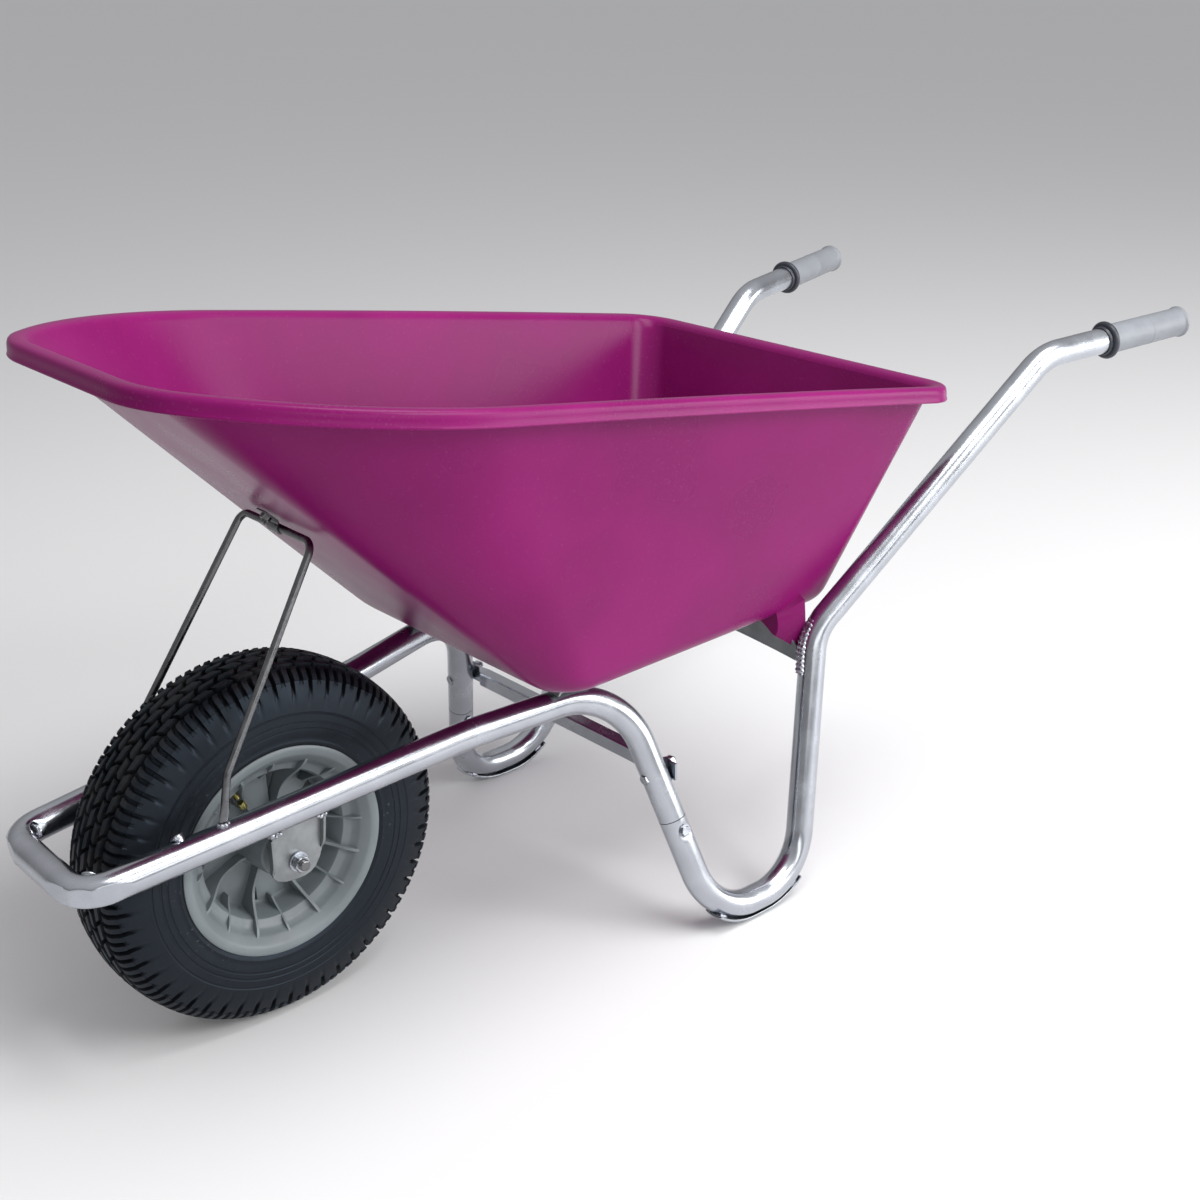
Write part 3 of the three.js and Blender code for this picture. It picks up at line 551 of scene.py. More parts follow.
MAKERS = {
    "purple": (moulded_purple, "tray"),
    "zinc": (bright_zinc, "tube"),
    "sheet": (dull_zinc, "sheet"),
    "steel": (mottled_metal, "steel", "dark_steel", (90, 4, 0.65), (0.3, 0.7), (0.8, 1.1), (0.22, 0.42), 1.7),
    "fastener": (mottled_metal, "tube", "bright_fastener", (160, 4, 0.6), (0.35, 0.65), (0.62, 0.9),
                 (0.2, 0.38), 1.1),
    "weld": (mottled_metal, "tube", "weld_metal", (420, 4, 0.7), (0.35, 0.6), (0.3, 1.25), (0.2, 0.5),
             None, 0.25),
    "rim": (grained_plastic, "rim", "rim_plastic", 0.46),
    "grip": (grained_plastic, "grip", "grip_plastic", 0.5, 600),
    "collar": (grained_plastic, "collar", "collar_plastic", 0.42, 900, 0.05),
    "rubber": (tyre_rubber, "rubber"),
    "brass": (mottled_metal, "brass", "old_brass", (300, 4), None, (0.5, 1.3), (0.25, 0.45)),
}  # what makes each finish, the colour setting it takes, and its further arguments
LOOKS = {}


def look(name):
    """The material of that name, made once from the colours in the settings."""
    if name not in LOOKS:
        maker, setting, *details = MAKERS[name]
        LOOKS[name] = maker(getattr(bpy.context.scene.barrow_colours, setting), *details)
    return LOOKS[name]


# ---- Tray ----

RIM = {"front": -627, "rear": 321, "half_front": 279, "half_rear": 261, "tight": 100, "wide": 352, "back": 48}
FLOOR = {"front": -209, "rear": 219, "half_front": 184, "half_rear": 170, "tight": 24, "wide": 58, "back": 40}
FRONT_TURN = math.radians(42)  # of the tight bend
LEAST_RADIUS = 3.0
LIP_INBOARD = 10.0  # from the crest in to the wall
UNDER_LIP = 4.0  # from the crest down to the top of the wall
FOLD = 32.0  # reach of the rounded fold between floor and walls
FOLD_TOP = 0.088  # of the wall's height
WALL_ROWS = 30
PANEL_SLOPE = 0.7785  # of the front panel, from level, in radians


def rim_height(x):
    """The height of the rim's crest along X: a shallow curve that rises to the front."""
    return 639.6 - 0.163 * x - 12.5e-6 * x * x


def arc(cx, cy, radius, start, end, count):
    """Points and outward normals on an arc; the angle turns from the front's normal towards the side's."""
    a = start + (end - start) * np.linspace(0, 1, count)
    return cx - radius * np.cos(a), cy + radius * np.sin(a), -np.cos(a), np.sin(a) * np.ones_like(cx)


def tray_outline(spec):
    """One closed outline for each row of the sizes in spec, seen from above: a straight front, a tight bend,
    a wide bend into the straight side, a rounded rear corner and a straight rear; the other half mirrors it.
    Sizes are columns of one value per row. Returns X, Y and the outward normal's X and Y."""
    front, rear = spec["front"], spec["rear"]
    tight, wide, back = (np.maximum(spec[k], LEAST_RADIUS) for k in ("tight", "wide", "back"))
    slope = (spec["half_rear"] - spec["half_front"]) / (rear - front)
    turn = math.pi / 2 - np.arctan(slope)

    def side_at(x):
        return spec["half_front"] + slope * (x - front)

    wide_end = front + tight * (1 - math.cos(FRONT_TURN)) + wide * (math.cos(FRONT_TURN) - np.cos(turn))
    flat = side_at(wide_end) - tight * math.sin(FRONT_TURN) - wide * (np.sin(turn) - math.sin(FRONT_TURN))
    gain = wide - tight
    ones = np.ones_like(front)
    t = np.linspace(0, 1, 9)[:-1]
    panel = (front * np.ones_like(t), flat * t, -ones * np.ones_like(t), 0 * ones * t)
    nose = arc(front + tight, flat, tight, 0 * ones, FRONT_TURN * ones, 12)
    cheek_x, cheek_y = front + tight + gain * math.cos(FRONT_TURN), flat - gain * math.sin(FRONT_TURN)
    cheek = arc(cheek_x, cheek_y, wide, FRONT_TURN * ones, turn, 20)
    back_start = rear - back * (1 + np.cos(turn))
    t = np.linspace(0, 1, 20)[1:-1]
    side_x = between(cheek[0][:, -1:], back_start, t)
    side = (side_x, side_at(side_x), cheek[2][:, -1:] * np.ones_like(t), cheek[3][:, -1:] * np.ones_like(t))
    corner = arc(rear - back, side_at(back_start) - back * np.sin(turn), back, turn, math.pi * ones, 14)
    t = np.linspace(0, 1, 8)[1:]
    end = (rear * np.ones_like(t), corner[1][:, -1:] * (1 - t), ones * np.ones_like(t), 0 * ones * t)
    parts = [panel, nose, tuple(p[:, 1:] for p in cheek), side, corner, end]
    half = [np.concatenate([part[k] for part in parts], axis=1) for k in range(4)]
    mirror = (1, -1, 1, -1)
    return [np.concatenate([h, sign * h[:, -2:0:-1]], axis=1) for h, sign in zip(half, mirror)]


def inset_spec(spec, front, rear, side):
    """The sizes moved inwards, each a column."""
    inwards = {"front": front, "rear": -rear}
    return {k: np.array([[v + inwards.get(k, -side)]], float) for k, v in spec.items()}


def level_outline(spec, z):
    """The outline of one row of sizes, as points at a height."""
    x, y, _, _ = tray_outline(spec)
    return np.stack([x[0], y[0], np.full_like(x[0], z)], axis=-1)


def wall_rows(fraction, floor, rim, floor_z, drop):
    """Rows of the wall at fractions of its height: every point runs straight from the floor's outline to the
    rim's. The front corners stay tight for longer than a straight change of their radii would keep them."""
    fraction = np.asarray(fraction, float).reshape(-1, 1)
    late = {"tight": 1.15, "wide": 1.15}
    spec = {k: between(floor[k], rim[k], fraction ** late.get(k, 1)) for k in floor}
    x, y, _, _ = tray_outline(spec)
    top = rim_height(tray_outline(rim)[0]) - drop
    return np.stack([x, y, between(floor_z, top, fraction)], axis=-1)


def shell_face(thickness, drop):
    """One face of the shell, from the middle of the floor to under the rim: a flat floor, a rounded fold and
    the wall. thickness is 0 for the outside."""
    floor_z = FLOOR_Z + thickness
    level = LIP_INBOARD + thickness * 1.07
    panel = LIP_INBOARD + thickness / math.sin(PANEL_SLOPE)
    corner = inset_spec(FLOOR, thickness * math.tan(PANEL_SLOPE / 2), thickness * 0.7, thickness * 0.7)
    heights = np.linspace(FOLD_TOP, 1, WALL_ROWS)
    walls = wall_rows(heights, corner, inset_spec(RIM, panel, level, level), floor_z, drop)
    knee = level_outline(corner, floor_z)
    inside = level_outline(inset_spec(FLOOR, FOLD, FOLD, FOLD), floor_z)
    t = np.linspace(0, 1, 12)[:-1, None, None]
    fold = (1 - t) ** 2 * inside + 2 * t * (1 - t) * knee + t ** 2 * walls[0]
    middle = np.array([(FLOOR["front"] + FLOOR["rear"]) / 2, 0, floor_z])
    floor = middle + np.array([0.04, 0.3, 0.6, 0.85])[:, None, None] * (inside - middle)
    return np.concatenate([floor, fold, walls])


LIP_SECTION = (
    (-6.5, -4.6), (-2, -4.3), (2.2, -4.9), (4.0, -7.5), (4.3, -12), (4.5, -15.6), (5.4, -17.2), (6.8, -17.8),
    (8.1, -17.3), (8.5, -16.2), (8.0, -14.8), (7.5, -13.6), (7.3, -9), (6.9, -5.2), (6.0, -2.6), (4.3, -0.9),
    (1.8, -0.1), (-1.5, 0.0), (-5.5, -0.5), (-9.4, -1.8), (-12, -3.8), (-13.6, -6.6),
)  # outwards and upwards from the crest: under the lip, down its inner face, round its edge, up and over


def add_tray_shell(surface):
    """The tub: its outside, the rolled lip and its inside as one skin."""
    x, y, nx, ny = tray_outline(inset_spec(RIM, 0, 0, 0))
    section = np.array(LIP_SECTION)[:, :, None]
    lip = np.stack([x + nx * section[:, 0], y + ny * section[:, 0], rim_height(x) + section[:, 1]], axis=-1)
    surface.grid(np.concatenate([shell_face(0.0, UNDER_LIP), lip, shell_face(WALL, UNDER_LIP + 5)[::-1]]))


FOOT_SECTIONS = {
    121: ((128, 322), (142, 323.2), (156, 325.2), (167, 330), (171, 334), (173, 333.5), (175, 330),
          (177, 320), (176, 310), (173, 304), (168, 305), (159, 311), (146, 318)),
    153: ((128, 322), (142, 323), (155, 325), (167, 330.5), (176, 342), (181, 350), (189, 346), (191, 322),
          (190, 298), (188, 280), (184, 282), (172, 299), (150, 316)),
}  # (Y, Z) outlines by X; the top edge of each runs within the tray's wall


def add_tray_feet(surface):
    """The saddle at each rear corner: a block between the wall and the front inner side of the tube."""
    t = np.linspace(0, 1, 8)[:, None, None]
    for side in SIDES.values():
        ends = [np.array([(x, y * side, z) for y, z in outline]) for x, outline in FOOT_SECTIONS.items()]
        surface.grid(between(*ends, t))


# ---- Frame tubes ----


def splice_point(side, fraction=SPLICE_AT):
    """The point on the front leg arm at a fraction of its length."""
    return between(on_side(LEG_TOP, side), on_side(LEG_FRONT, side), fraction)


def leg_axes(side):
    """The front leg arm's own directions: down it, outwards across it, and behind it."""
    arm = unit(on_side(LEG_FRONT, side) - on_side(LEG_TOP, side))
    outwards = unit(np.array([0, side, 0]) - arm * side * arm[1])
    behind = unit(np.array([1, 0, 0]) - arm * arm[0])
    return arm, outwards, behind


EYE_SECTION = ((-3.0, 0.66), (-3.0, 0.8), (1.0, 0.8), (3.2, 0.88), (4.6, 1), (5.4, 1), (5.7, 0.95),
               (5.2, 0.88), (3.6, 0.76), (1.2, 0.66))  # (mm along the axis, share of the radius)
TUBE_COLUMNS = 56
BORE_DEPTH = 30.0
RAIL_EYE_AT = 0.255  # of the way from the front corner to the rail's bend


def eyelet(surface, base, direction, radius):
    """A pressed eye: a short collar that flares outwards to a rounded mouth."""
    surface.grid(turned(np.array(EYE_SECTION) * [1, radius], base, direction, 40), ring=True)


def hollow_tube(surface, route, shaping):
    """A tube as one skin: the outside, put through shaping, and a blind bore in each end."""
    outside, flow = carried_circle(route, TUBE_R, TUBE_COLUMNS)
    bore = carried_circle(route, TUBE_BORE, TUBE_COLUMNS)[0][[0, -1]]
    start = bore[0] + BORE_DEPTH * unit(route[1] - route[0])
    stop = bore[1] - BORE_DEPTH * unit(route[-1] - route[-2])
    rows = np.concatenate([start[None], bore[:1], shaping(outside), bore[1:], stop[None]])
    surface.grid(rows, flow=np.concatenate([flow[:1], flow[:1], flow, flow[-1:], flow[-1:]]))


def crushed_corner(points, bend):
    """A tube bent tighter than it likes: three pressed flats round the outside, a cup on the inside."""
    middle, outward, centre, angle = bend
    radius = np.linalg.norm(middle - centre)
    axis = unit(np.cross(outward, [0, 0, 1]))
    for turn in (-0.36, 0.0, 0.36):
        spoke = unit(outward * math.cos(turn * angle) + axis * math.sin(turn * angle))
        points = flattened(points, centre + spoke * (radius + TUBE_R - 4.2), spoke, 27.0, 0.05)
    above = unit(np.cross(axis, outward))
    above *= np.sign(above[2])
    cup = centre + outward * (radius - TUBE_R) + above * 7
    return pressed(points, cup, unit(outward - above * 0.5), 14.0, 4.5)


def rail_eye(side):
    """The middle of the rail at the eye ahead of the stay's foot, and the direction the eye faces."""
    ahead = on_side(between(np.array(FRONT_CORNER), np.array(RAIL_BEND), RAIL_EYE_AT), side)
    return ahead, unit([-0.35, -0.55 * side, 0.8])


def add_front_tube(surface):
    """Both front leg arms, rails and the front loop in one tube, with an eye in each corner and each rail."""
    half = [LEG_TOP, RAIL_BEND, FRONT_CORNER]
    corners = [*(on_side(p, 1) for p in half), *(on_side(p, -1) for p in reversed(half))]
    radii = [BEND_R[k] for k in ("leg_top", "rail", "front_corner")]
    route, bends = bent_route([splice_point(1), *corners, splice_point(-1)], [*radii, *reversed(radii)], 2.4)
    front_bends = bends[2:4]

    def shaping(points):
        for bend in front_bends:
            points = crushed_corner(points, bend)
        for side in SIDES.values():
            ahead, top = rail_eye(side)
            points = pressed(points, ahead + top * TUBE_R, -top, 9.0, 15.0)
        return points

    hollow_tube(surface, route, shaping)
    for side, (_, outward, centre, _) in zip((1, -1), front_bends):
        face = unit(np.array([0, 0, 0.55]) - outward)
        corner = centre + outward * BEND_R["front_corner"]
        eyelet(surface, corner + face * (TUBE_R - 5.0), face, 9.0)
        ahead, top = rail_eye(side)
        eyelet(surface, ahead + top * (TUBE_R - 0.5), top, 7.5)


def add_rear_tube(surface, side):
    """Leg, upright and handle. The tube is pressed round the splice bolt, with a slot above it."""
    arm, outwards, behind = leg_axes(side)
    start = splice_point(side, REAR_TUBE_AT)
    turns = (LEG_FRONT, LEG_REAR, HANDLE_FOOT, HANDLE_BEND, HANDLE_END)
    radii = [BEND_R[k] for k in ("leg", "leg", "handle_foot", "handle")]
    route, _ = bent_route([start, *(on_side(p, side) for p in turns)], radii, 2.4)
    bolt = splice_point(side, SPLICE_BOLT_AT)

    def shaping(points):
        for face in (outwards, -outwards):
            points = pressed(points, bolt + face * TUBE_R, -face, 12.0, 2.2)
        slot = unit(outwards + behind)
        return pressed(points, start + arm * 6 + slot * TUBE_R, -slot, 6.0, 1.6)

    hollow_tube(surface, route, shaping)


SKID_TOP = 38.5  # the height on the tube's axis where the strip ends


def add_leg_skid(surface, welds, side):
    """The wear strip: a shallow channel under the leg bend, flat where it stands, with cut ends."""
    corners = [splice_point(side), *(on_side(p, side) for p in (LEG_FRONT, LEG_REAR, HANDLE_FOOT))]
    route, _ = bent_route(corners, [BEND_R["leg"]] * 2, 2.0)
    route = route[route[:, 2] < SKID_TOP]
    y = float(np.mean(route[:, 1]))
    tangent = unit(np.gradient(route, axis=0) * [1, 0, 1])
    down = np.stack([tangent[:, 2], np.zeros(len(route)), -tangent[:, 0]], axis=1)
    half, near, thick = 13.0, TUBE_R + 0.2, 3.1
    wide = np.array([-1, -0.82, -0.4, 0, 0.4, 0.82, 1]) * half
    curl = 2.2 * (np.abs(wide) / half) ** 3
    inner = near - curl + 0.5
    outer = near + thick - curl
    section = np.concatenate([np.stack([wide, inner], 1), np.stack([wide, outer], 1)[::-1]])
    section[:, 1] = np.minimum(section[:, 1], near + thick)
    points = route[:, None] * [1, 0, 1] + [0, y, 0] + down[:, None] * section[None, :, 1:]
    points[..., 1] += section[None, :, 0]
    points[..., 2] = np.maximum(points[..., 2], 0.0)
    surface.grid(points)
    for number, edge in enumerate((-1, 1)):
        seam = route + down * (TUBE_R - 1.5) + [0, edge * 8.0, 0]
        for part in (seam[3:9], seam[-9:-3]):
            bead(welds, part, 2.4, 20 + number)


def add_leg_brace(surface):
    """The brace: a square tube that is pressed flat towards its ends into the tabs behind the leg arms."""
    low, high = cad_box("leg_brace")
    centre_x, _, z = (low + high) / 2
    half_y = high[1]
    run = np.concatenate([np.linspace(0, half_y - 44, 8), np.linspace(half_y - 40, half_y - 28, 7),
                          np.linspace(half_y - 26, half_y, 5)])
    y = np.concatenate([-run[::-1], run[1:]])
    flat = eased(np.abs(y), half_y - 44, half_y - 30)
    front = between(centre_x - 9, centre_x, flat)
    rear = between(centre_x + 9, centre_x + 3, flat)
    tall = between(9.0, 10.5, flat)
    c = 0.82
    shape = np.array([(0, -c), (0.1, -1), (0.9, -1), (1, -c), (1, c), (0.9, 1), (0.1, 1), (0, c)])
    x = between(front[:, None], rear[:, None], shape[None, :, 0])
    height = z + tall[:, None] * shape[None, :, 1]
    surface.grid(np.stack([x, np.repeat(y[:, None], len(shape), 1), height], axis=-1))


SHEET = 2.5
PLATE_SEAMS = ((-0.99, 0.1, 4.2, 258, 348), (-0.9, 0.42, 4.4, 258, 336), (0.1, 1.0, 2.8, 270, 305))
# (forward, inward, bead's radius, lowest, highest): how a weld seam lies on the upright and how far it runs


def add_rear_plate(surface, welds):
    """The cross plate: a web with a curved lower edge between the tubes, and a flange under the tray."""
    low, high = cad_box("rear_cross_plate")
    web_x, top, end = high[0] - SHEET, high[2], high[1] + 9
    t = np.linspace(-1, 1, 25)
    lower = np.stack([np.full_like(t, web_x), t * end, low[2] + 10 * (1 - t ** 2)], axis=1)
    shoulder = [(end, 290), (180, 299), (168, 307), (157, 314), (146, top)]
    loop = [*lower, *[(web_x, y, z) for y, z in shoulder], *[(web_x, -y, z) for y, z in reversed(shoulder)]]
    surface.prism(loop, (SHEET, 0, 0))
    flange = [(low[0], -135, top), (high[0] - 1, -135, top), (high[0] - 1, 135, top), (low[0], 135, top)]
    surface.prism(flange, (0, 0, -SHEET))
    for side in SIDES.values():
        corners = [on_side(p, side) for p in (LEG_REAR, HANDLE_FOOT, HANDLE_BEND)]
        upright, _ = bent_route(corners, [BEND_R["handle_foot"]])
        for number, (forward, inward, size, lowest, highest) in enumerate(PLATE_SEAMS):
            at = unit([forward, -side * inward, 0]) * (TUBE_R - 0.4)
            seam = upright[(upright[:, 2] > lowest) & (upright[:, 2] < highest)] + at
            bead(welds, seam, size, 30 + 3 * number + side, 5.5)


def add_straps(surface, welds):
    """The strap on each rail: a plate whose front end turns down to the tube."""
    for name, side in SIDES.items():
        low, high = cad_box("tray_bracket_" + name)
        z = high[2] - np.array([0, 0, 0, 1.5, 5])
        x = np.array([high[0], low[0] + 6, low[0], low[0] - 4, low[0] - 6])
        top = np.stack([x, np.zeros(5), z], 1)
        normal = np.array([[0, 0, -1], [0, 0, -1], [-0.2, 0, -1], [-0.8, 0, -0.6], [-1, 0, -0.2]])
        under = top + unit(normal * [-1, 0, 1]) * 3
        edges = ((top, low), (top, high), (under, high), (under, low))
        surface.grid(np.stack([line + [0, corner[1], 0] for line, corner in edges], 1))
        seam_y = 137 * side
        bead(welds, [(low[0] + 4, seam_y, 306), (high[0] - 4, seam_y, 309)], 2.4, 40 + side)


# ---- Stay ----


def add_stay(surface, welds):
    """The bent rod. Each foot is hammered flat, turned over the rail and welded."""
    half = [STAY_FOOT, STAY_KNEE, STAY_TOP]
    corners = [*(on_side(p, 1) for p in half), *(on_side(p, -1) for p in reversed(half))]
    route, _ = bent_route(corners, [20, 14, 14, 20], 1.6)
    radius = np.full(len(route), STAY_R)
    radius[[0, -1]] = STAY_R * 0.7
    rod, flow = carried_circle(route, radius, 28)
    flat = 1 - eased(rod[..., 2:] - STAY_FOOT[2], 6, 26)
    centre = np.sign(rod[..., 1:2]) * STAY_FOOT[1]
    rod[..., 1:2] = between(rod[..., 1:2], centre + (rod[..., 1:2] - centre) * 0.5, flat)
    rod[..., :1] = between(rod[..., :1], STAY_FOOT[0] + (rod[..., :1] - STAY_FOOT[0]) * 1.35, flat)
    surface.grid(rod, flow=flow)
    for side in SIDES.values():
        foot = on_side(STAY_FOOT, side)
        for seed, y in ((50, 4), (53, -4)):
            bead(welds, [foot + [-7, 0, -1], foot + [0, y, -1.5], foot + [7, 0, -1]], 2.0, seed + side)


def panel_frame():
    """The front panel's outward normal, its uphill direction, the point on it nearest the middle of the stay,
    and that middle."""
    sine, cosine = math.sin(PANEL_SLOPE), math.cos(PANEL_SLOPE)
    outward = np.array([-sine, 0, -cosine])
    uphill = np.array([-cosine, 0, sine])
    rod = np.array([STAY_TOP[0], 0, STAY_TOP[2]])
    foot = np.array([FLOOR["front"], 0, FLOOR_Z])
    return outward, uphill, rod + outward * ((foot - rod) @ outward), rod


def add_stay_clip(surface, bolts):
    """The clip: a strap bent round the rod, with a foot bolted to the panel."""
    outward, uphill, seat, rod = panel_frame()
    gap = np.linalg.norm(rod - seat)
    bore = STAY_R + 0.3
    half_turn = np.linspace(-math.pi / 2, math.pi / 2, 12)
    bend = [(bore * math.sin(a), gap + bore * math.cos(a)) for a in half_turn]
    inner = np.array([(-bore, 1.0), *bend, (bore, 3.6), (6.2, 1.6), (9, 0.4), (26, 0.4)])
    tangent = unit(np.gradient(inner, axis=0))
    outer = inner + 2.0 * np.stack([-tangent[:, 1], tangent[:, 0]], axis=1)
    section = np.concatenate([inner, outer[::-1]])
    half_wide = np.array([0, 9, 0])
    surface.prism(seat + section[:, :1] * uphill + section[:, 1:] * outward - half_wide, 2 * half_wide)
    at = seat + uphill * 17
    hex_head(bolts, at + outward * 2.6, outward, 6.0, 4.6)
    shank(bolts, at + outward * 7.0, outward, 3.0, 4.5)
    hex_head(bolts, at - outward * (WALL + 0.3), -outward, 6.8, 3.0)


# ---- Handles ----


GRIP_PAST = 5.0  # how far the grip's closed end stands beyond the tube
COLLAR_AT = 124.6  # from the grip's tip
GRIP_SECTION = (
    (0, 0.5), (0, 12), (0.2, 16.2), (0.9, 18.3), (2.2, 19.4), (4.2, 19.6), (5.8, 19.0), (7, 18.1),
    (8.5, 17.8), (30, 17.9), (60, 18.0), (60.4, 18.25), (61.2, 18.25), (61.6, 18.0), (90, 18.1), (118, 18.2),
    (121, 18.6), (124, 18.8), (124.4, 18.0), (124.4, 16.3),
)  # (distance from the tip, radius)


def handle_end(side):
    """The end of the handle's tube, and the direction it points in."""
    end = on_side(HANDLE_END, side)
    heading = unit(end - on_side(HANDLE_BEND, side))
    return end, heading


def add_grip(surface, side):
    """A sleeve with a rolled rim at its closed end and a mould ring round its middle."""
    end, heading = handle_end(side)
    surface.grid(turned(GRIP_SECTION, end + heading * GRIP_PAST, -heading, columns=64))


def add_collar(surface, side):
    """The stop ring: a rounded flange on a short neck."""
    end, heading = handle_end(side)
    bends = np.linspace(0.1, math.pi - 0.1, 12)
    flange = [(4 - 4.4 * math.cos(a), 19.0 + 4.4 * math.sin(a)) for a in bends]
    profile = [(0.0, 16.2), (0.0, 18.0), *flange, (8.4, 18.2), (11.5, 17.6), (12.2, 17.0), (12.2, 16.2)]
    seat = end + heading * (GRIP_PAST - COLLAR_AT)
    surface.grid(turned(profile, seat, -heading, columns=56), ring=True)


# ---- Wheel ----

LONG_RIBS = 8
RIB_STEP = FULL_TURN / LONG_RIBS
LONG_RIB_THICK = 3.4
SHORT_RIB_THICK = 2.6
RIB_HEEL = ((100.5, 36), (83, 20), (79, 3.5))  # (radius, half width) where a rib meets hoop and web
WEB_HALF = 4
AXLE_HALF = 92
VALVE_TURN = math.radians(28)
VALVE_Y = -25.0
TREAD_PITCHES = 54
ROW_GAPS = (6.5, 17.5, 29.5)  # half widths at which the grooves between the rows lie
TREAD_STATIONS = (0, 0.05, 0.2, 0.25, 0.38, 0.5, 0.55, 0.7, 0.75, 0.88)  # of a pitch, round the tyre
HUB_HALF = ((24, 51.0), (26, 51.0), (27.5, 49.5), (28.5, 44), (29.5, 30), (31, 8), (33, 5), (34, 4))
HOOP_HALF = (
    (75.5, 4), (77, 4.2), (79, 6), (80.5, 10), (82, 26), (84.5, 31.5), (91, 34.5), (94, 36.5), (97, 42),
    (99.2, 45.2), (103, 48), (105.6, 51.2), (108, 52.6), (112, 53.4), (115, 53.2), (116.8, 52.2), (117, 51.2),
    (115, 49.6), (108, 46.8), (104.4, 44.8), (103.4, 42), (103, 38), (101, 34.5), (96, 32), (89.5, 29),
)  # (radius, half width) from the web out over the flange and into the tyre's seat
TYRE_SIDE = (
    (103.4, 40.5), (104, 44), (106, 46.2), (112, 48.9), (116.5, 50.6), (119, 52.4), (121.5, 53.4),
    (124, 52.6), (127, 53.2), (133, 54), (134, 54), (134.8, 53.3), (136.2, 53.3), (137, 54), (141, 54),
    (141.8, 53.3), (143.2, 53.3), (144, 54), (151, 53.8), (151.8, 53), (153.2, 53), (154, 53.6), (162, 52.6),
    (170, 50.8), (176, 48.9), (181, 47), (185, 45.4),
)  # (radius, half width) from the rim's seat up the sidewall to the tread's shoulder
TREAD_HALF = (46, 44.5, 42.5, 39, 35, 32.7, 31.5, 29.5, 27.5, 26.3, 23.5, 20.7, 19.5, 17.5, 15.5, 14.3, 12,
              9.7, 8.5, 6.5, 4.5, 3.3, 0)  # half widths from the shoulder in, close at the grooves
HOLLOW_HALF = ((108, 36), (118, 45), (135, 48.5), (155, 48), (172, 44), (183, 34), (189, 18))
HOLLOW_TOP = (190.5, 0)
SHOULDER_ROWS = 8  # of the sidewall's points, next to the tread, that the cuts may reach
TREAD_CUT = 6.8
BEARING_SECTION = (
    (40, 8), (40, 14.4), (40.4, 14.8), (53.4, 14.8), (53.9, 14.3), (53.9, 12.6), (53.2, 12.4), (53, 10),
    (53.3, 9.8), (53.9, 9.6), (53.9, 6.3), (40, 6.3),
)  # (distance from the middle of the axle, radius)
SPACER_SECTION = ((54.9, 6.4), (54.9, 10.6), (55.3, 11), (73.2, 11), (73.6, 10.6), (73.6, 6.4))
BRACKET_PLATE = (
    (-32, 40), (-31.5, 8), (-30, -9), (-25.5, -14.5), (-16, -18.5), (-6, -19.8), (6, -20), (13.5, -18.2),
    (20, -14), (26, -4.5), (31, 8), (34, 44),
)  # (X, Z) from the axle


def on_wheel(radius, angle, y):
    """A point by its distance from the axle and its turn from straight up towards the front."""
    x, z = AXLE[0] - radius * np.sin(angle), AXLE[2] + radius * np.cos(angle)
    return np.stack(np.broadcast_arrays(x, y, z), axis=-1)


def rib_plate(surface, outline, angle, thick):
    """A radial plate: an outline of (radius, width) with its thickness square to the radius."""
    outline = np.array(outline, float)
    across_rib = thick / 2 * np.array([-math.cos(angle), 0, -math.sin(angle)])
    loop = on_wheel(outline[:, 0], angle, outline[:, 1])
    surface.prism(loop - across_rib, 2 * across_rib)


def add_wheel_rim(surface):
    """Turned hub and dished hoop, a web in eight plates that leave a slanted window ahead of each long rib,
    and eight long and eight short ribs a side."""
    hub, hoop = np.array(HUB_HALF, float), np.array(HOOP_HALF, float)
    bore = [(15, -51.0), (15, -38.2), (8.5, -37.8), (8.5, 37.8), (15, 38.2), (15, 51.0)]
    surface.grid(about_axle(np.concatenate([hub, hub[::-1] * [1, -1], bore]), 96), ring=True)
    surface.grid(about_axle(np.concatenate([hoop, hoop[::-1] * [1, -1]]), 144), ring=True)
    for number in range(LONG_RIBS):
        start = (number + 0.5) * RIB_STEP
        inner = start + np.linspace(0, RIB_STEP, 8)
        outer = start + np.linspace(RIB_STEP, 18.0 / 77.0, 8)
        parts = ((29.5, inner), (77.0, outer), (35.0, inner[:1]))
        loop = np.concatenate([on_wheel(radius, angle, 0.0) for radius, angle in parts])
        surface.prism(loop - [0, WEB_HALF, 0], (0, 2 * WEB_HALF, 0))
    r = np.linspace(25, 100.5, 16)
    dip = 16 + 5.0 * (1 - eased(r, 25, 34)) + 30 * eased(r, 50, 101) ** 1.3
    long_rib = [*np.stack([r, dip], axis=1), *RIB_HEEL, (25, 3.5)]
    r = np.linspace(70, 100.5, 9)
    short_rib = [*np.stack([r, 10 + 36 * eased(r, 62, 102)], axis=1), *RIB_HEEL, (70, 3.5)]
    for face in (1, -1):
        for number in range(LONG_RIBS):
            for outline, turn, thick in ((long_rib, 0.5, LONG_RIB_THICK), (short_rib, 0, SHORT_RIB_THICK)):
                rib_plate(surface, np.array(outline) * [1, face], (number + turn) * RIB_STEP, thick)


